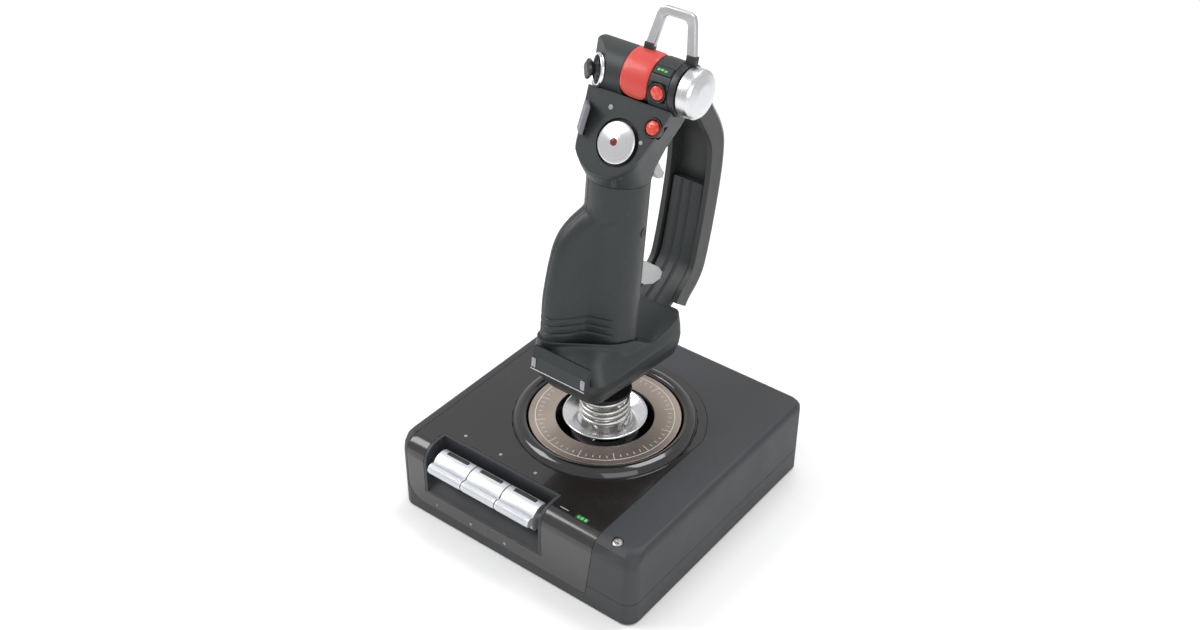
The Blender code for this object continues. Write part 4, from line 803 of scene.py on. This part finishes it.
def area_light(name, place, aim, size, power):
    """A soft rectangular light that looks at a point."""
    lamp = bpy.data.lights.new(name, "AREA")
    lamp.shape = "RECTANGLE"
    lamp.size = size[0]
    lamp.size_y = size[1]
    lamp.energy = power
    made = bpy.data.objects.new(name, lamp)
    bpy.context.scene.collection.objects.link(made)
    way = Vector(aim) - Vector(place)
    made.matrix_world = Matrix.Translation(place) @ way.to_track_quat("-Z", "Y").to_matrix().to_4x4()


def build_stage(settings):
    """Floor, even world light, three soft lights and the camera."""
    scene = bpy.context.scene
    half = 3.0
    floor = bpy.data.meshes.new("floor")
    floor.from_pydata([(-half, -half, 0), (half, -half, 0), (half, half, 0), (-half, half, 0)], [], [(0, 1, 2, 3)])
    ground = bpy.data.objects.new("floor", floor)
    scene.collection.objects.link(ground)
    paper = Finish("paper_finish", settings.floor_colour, 0.9)
    paper.set("Base Color", paper.mix(paper.noise(3), [c * 0.99 for c in settings.floor_colour],
                                      settings.floor_colour))
    floor.materials.append(paper.material)
    world = bpy.data.worlds.new("studio")
    world.use_nodes = True
    world.node_tree.nodes["Background"].inputs[0].default_value = (1, 1, 1, 1)
    world.node_tree.nodes["Background"].inputs[1].default_value = settings.sky
    scene.world = world
    area_light("key", (-0.9, -0.5, 1.1), (0, 0, 0.12), (0.7, 0.7), 9)
    area_light("fill", (1.0, -0.7, 0.7), (0, 0, 0.15), (0.9, 0.9), 4)
    area_light("top", (0.1, 0.5, 1.3), (0, 0, 0.1), (0.9, 0.5), 8)
    scene.view_settings.view_transform = "Standard"
    forward = Vector((-0.49259, 0.64708, -0.58192)).normalized()
    right = Vector((0.79250, 0.60982, 0.00726)).normalized()
    up = right.cross(forward)
    seat = Vector((0.448784, -0.595801, 0.669106))
    camera = bpy.data.cameras.new("camera")
    camera.lens = 44.98
    camera.sensor_width = 36
    viewer = bpy.data.objects.new("camera", camera)
    viewer.matrix_world = Matrix(((right.x, up.x, -forward.x, seat.x), (right.y, up.y, -forward.y, seat.y),
                                  (right.z, up.z, -forward.z, seat.z), (0, 0, 0, 1)))
    scene.collection.objects.link(viewer)
    scene.camera = viewer


# Add-on -----------------------------------------------------------------------------------------

def colour_setting(name, description, default):
    """A colour that the user can change."""
    return bpy.props.FloatVectorProperty(name=name, description=description, subtype="COLOR", default=default,
                                         min=0, max=1)


class JoystickSettings(bpy.types.PropertyGroup):
    """Sizes and colours that a user would change"""
    shell_colour: colour_setting("Base shell", "Colour of the base's two shells", (0.027, 0.0305, 0.035))
    grip_colour: colour_setting("Grip", "Colour of the grip, the head and the hand rest", (0.018, 0.0225, 0.024))
    guard_colour: colour_setting("Guard", "Colour of the hand guard", (0.028, 0.030, 0.029))
    trim_colour: colour_setting("Guard strip", "Colour of the strip round the guard", (0.34, 0.35, 0.36))
    plate_colour: colour_setting("Scale plate", "Colour of the metal plate in the base", (0.40, 0.335, 0.29))
    cover_colour: colour_setting("Flip cover", "Colour of the cover over the launch button", (0.56, 0.048, 0.034))
    lamp_colour: colour_setting("Lit buttons", "Colour of the two lit buttons", (0.50, 0.024, 0.006))
    status_colour: colour_setting("Status lamps", "Colour of the small status lamps", (0.012, 0.42, 0.05))
    lamp_glow: bpy.props.FloatProperty(
        name="Button glow", description="Strength of the lit buttons' own light", default=0.2, min=0, max=5)
    status_glow: bpy.props.FloatProperty(
        name="Status glow", description="Strength of the status lamps' own light", default=0.35, min=0, max=5)
    spring_wire: bpy.props.FloatProperty(
        name="Spring wire", description="Radius of the spring's wire", subtype="DISTANCE", unit="LENGTH",
        default=0.0014, min=0.0005, max=0.0016)
    spring_turns: bpy.props.IntProperty(
        name="Spring turns", description="Number of turns in the spring", default=4, min=2, max=8)
    bar_ribs: bpy.props.IntProperty(
        name="Bar ribs", description="Number of ribs counted over half of a toggle's finger bar", default=46, min=8,
        max=90)
    floor_colour: colour_setting("Floor", "Colour of the studio floor", (0.93, 0.93, 0.93))
    sky: bpy.props.FloatProperty(
        name="Room light", description="Strength of the even light from all round", default=0.72, min=0, max=5)


def finish_frame(settings):
    """Makes the finishes and puts each frame node's slot finish on it."""
    FINISHES.update(make_finishes(settings))
    record_slots = {part["node"]: part["material_slot"] for part in frame["record"]["subparts"]}
    for node, piece in frame["nodes"].items():
        chosen = FINISHES[record_slots[node]].material
        if piece.material_slots:
            for place in piece.material_slots:
                place.material = chosen
        else:
            piece.data.materials.append(chosen)


class JOYSTICK_OT_finishes(bpy.types.Operator):
    """Makes every finish and gives it to the frame's own pieces"""
    bl_idname = "joystick.finishes"
    bl_label = "Finishes"

    def execute(self, context):
        finish_frame(context.scene.joystick)
        return {"FINISHED"}


class JOYSTICK_OT_base(bpy.types.Operator):
    """Shells, panel, feet, marks and gland"""
    bl_idname = "joystick.base"
    bl_label = "Base"

    def execute(self, context):
        build_base()
        return {"FINISHED"}


class JOYSTICK_OT_toggles(bpy.types.Operator):
    """Three rockers with ribbed bars"""
    bl_idname = "joystick.toggles"
    bl_label = "Toggles"

    def execute(self, context):
        build_toggles(context.scene.joystick)
        return {"FINISHED"}


class JOYSTICK_OT_gimbal(bpy.types.Operator):
    """Rings, dish, spring and shaft"""
    bl_idname = "joystick.gimbal"
    bl_label = "Gimbal"

    def execute(self, context):
        build_gimbal(context.scene.joystick)
        return {"FINISHED"}


class JOYSTICK_OT_grip(bpy.types.Operator):
    """The grip's skin and its side port"""
    bl_idname = "joystick.grip"
    bl_label = "Grip"

    def execute(self, context):
        build_grip()
        return {"FINISHED"}


class JOYSTICK_OT_hand_rest(bpy.types.Operator):
    """The scooped rest and its tongue"""
    bl_idname = "joystick.hand_rest"
    bl_label = "Hand rest"

    def execute(self, context):
        build_hand_rest()
        return {"FINISHED"}


class JOYSTICK_OT_latch(bpy.types.Operator):
    """The lever that holds the hand rest"""
    bl_idname = "joystick.latch"
    bl_label = "Latch"

    def execute(self, context):
        build_latch()
        return {"FINISHED"}


class JOYSTICK_OT_guard(bpy.types.Operator):
    """Hand guard, trigger and lever"""
    bl_idname = "joystick.guard"
    bl_label = "Guard"

    def execute(self, context):
        build_guard()
        return {"FINISHED"}


class JOYSTICK_OT_head(bpy.types.Operator):
    """Head shell, face plate and buttons"""
    bl_idname = "joystick.head"
    bl_label = "Head"

    def execute(self, context):
        build_head()
        return {"FINISHED"}


class JOYSTICK_OT_hats(bpy.types.Operator):
    """Both hats and their surrounds"""
    bl_idname = "joystick.hats"
    bl_label = "Hats"

    def execute(self, context):
        build_hats()
        return {"FINISHED"}


class JOYSTICK_OT_cover(bpy.types.Operator):
    """Flip cover, bail, band and knob"""
    bl_idname = "joystick.cover"
    bl_label = "Cover"

    def execute(self, context):
        build_cover()
        return {"FINISHED"}


class JOYSTICK_OT_stage(bpy.types.Operator):
    """Floor, lights and camera"""
    bl_idname = "joystick.stage"
    bl_label = "Stage"

    def execute(self, context):
        build_stage(context.scene.joystick)
        return {"FINISHED"}


OPERATORS = [JOYSTICK_OT_finishes, JOYSTICK_OT_base, JOYSTICK_OT_toggles, JOYSTICK_OT_gimbal,
             JOYSTICK_OT_grip, JOYSTICK_OT_hand_rest, JOYSTICK_OT_latch, JOYSTICK_OT_guard,
             JOYSTICK_OT_head, JOYSTICK_OT_hats, JOYSTICK_OT_cover, JOYSTICK_OT_stage]


class JOYSTICK_PT_panel(bpy.types.Panel):
    """Lists the builders of the joystick's pieces"""
    bl_idname = "JOYSTICK_PT_panel"
    bl_label = "Flight joystick"
    bl_space_type = "VIEW_3D"
    bl_region_type = "UI"
    bl_category = "Joystick"

    def draw(self, context):
        for setting in JoystickSettings.__annotations__:
            self.layout.prop(context.scene.joystick, setting)
        for made in OPERATORS:
            self.layout.operator(made.bl_idname)


CLASSES = [JoystickSettings, *OPERATORS, JOYSTICK_PT_panel]


def register():
    """Registers the classes and puts the settings on the scene."""
    for made in CLASSES:
        bpy.utils.register_class(made)
    bpy.types.Scene.joystick = bpy.props.PointerProperty(type=JoystickSettings)


def unregister():
    """Takes the settings and the classes away again."""
    del bpy.types.Scene.joystick
    for made in reversed(CLASSES):
        bpy.utils.unregister_class(made)


def main():
    """Runs every operator in order."""
    register()
    for made in OPERATORS:
        getattr(bpy.ops.joystick, made.bl_idname.split(".")[1])()


if __name__ == "__main__":
    main()
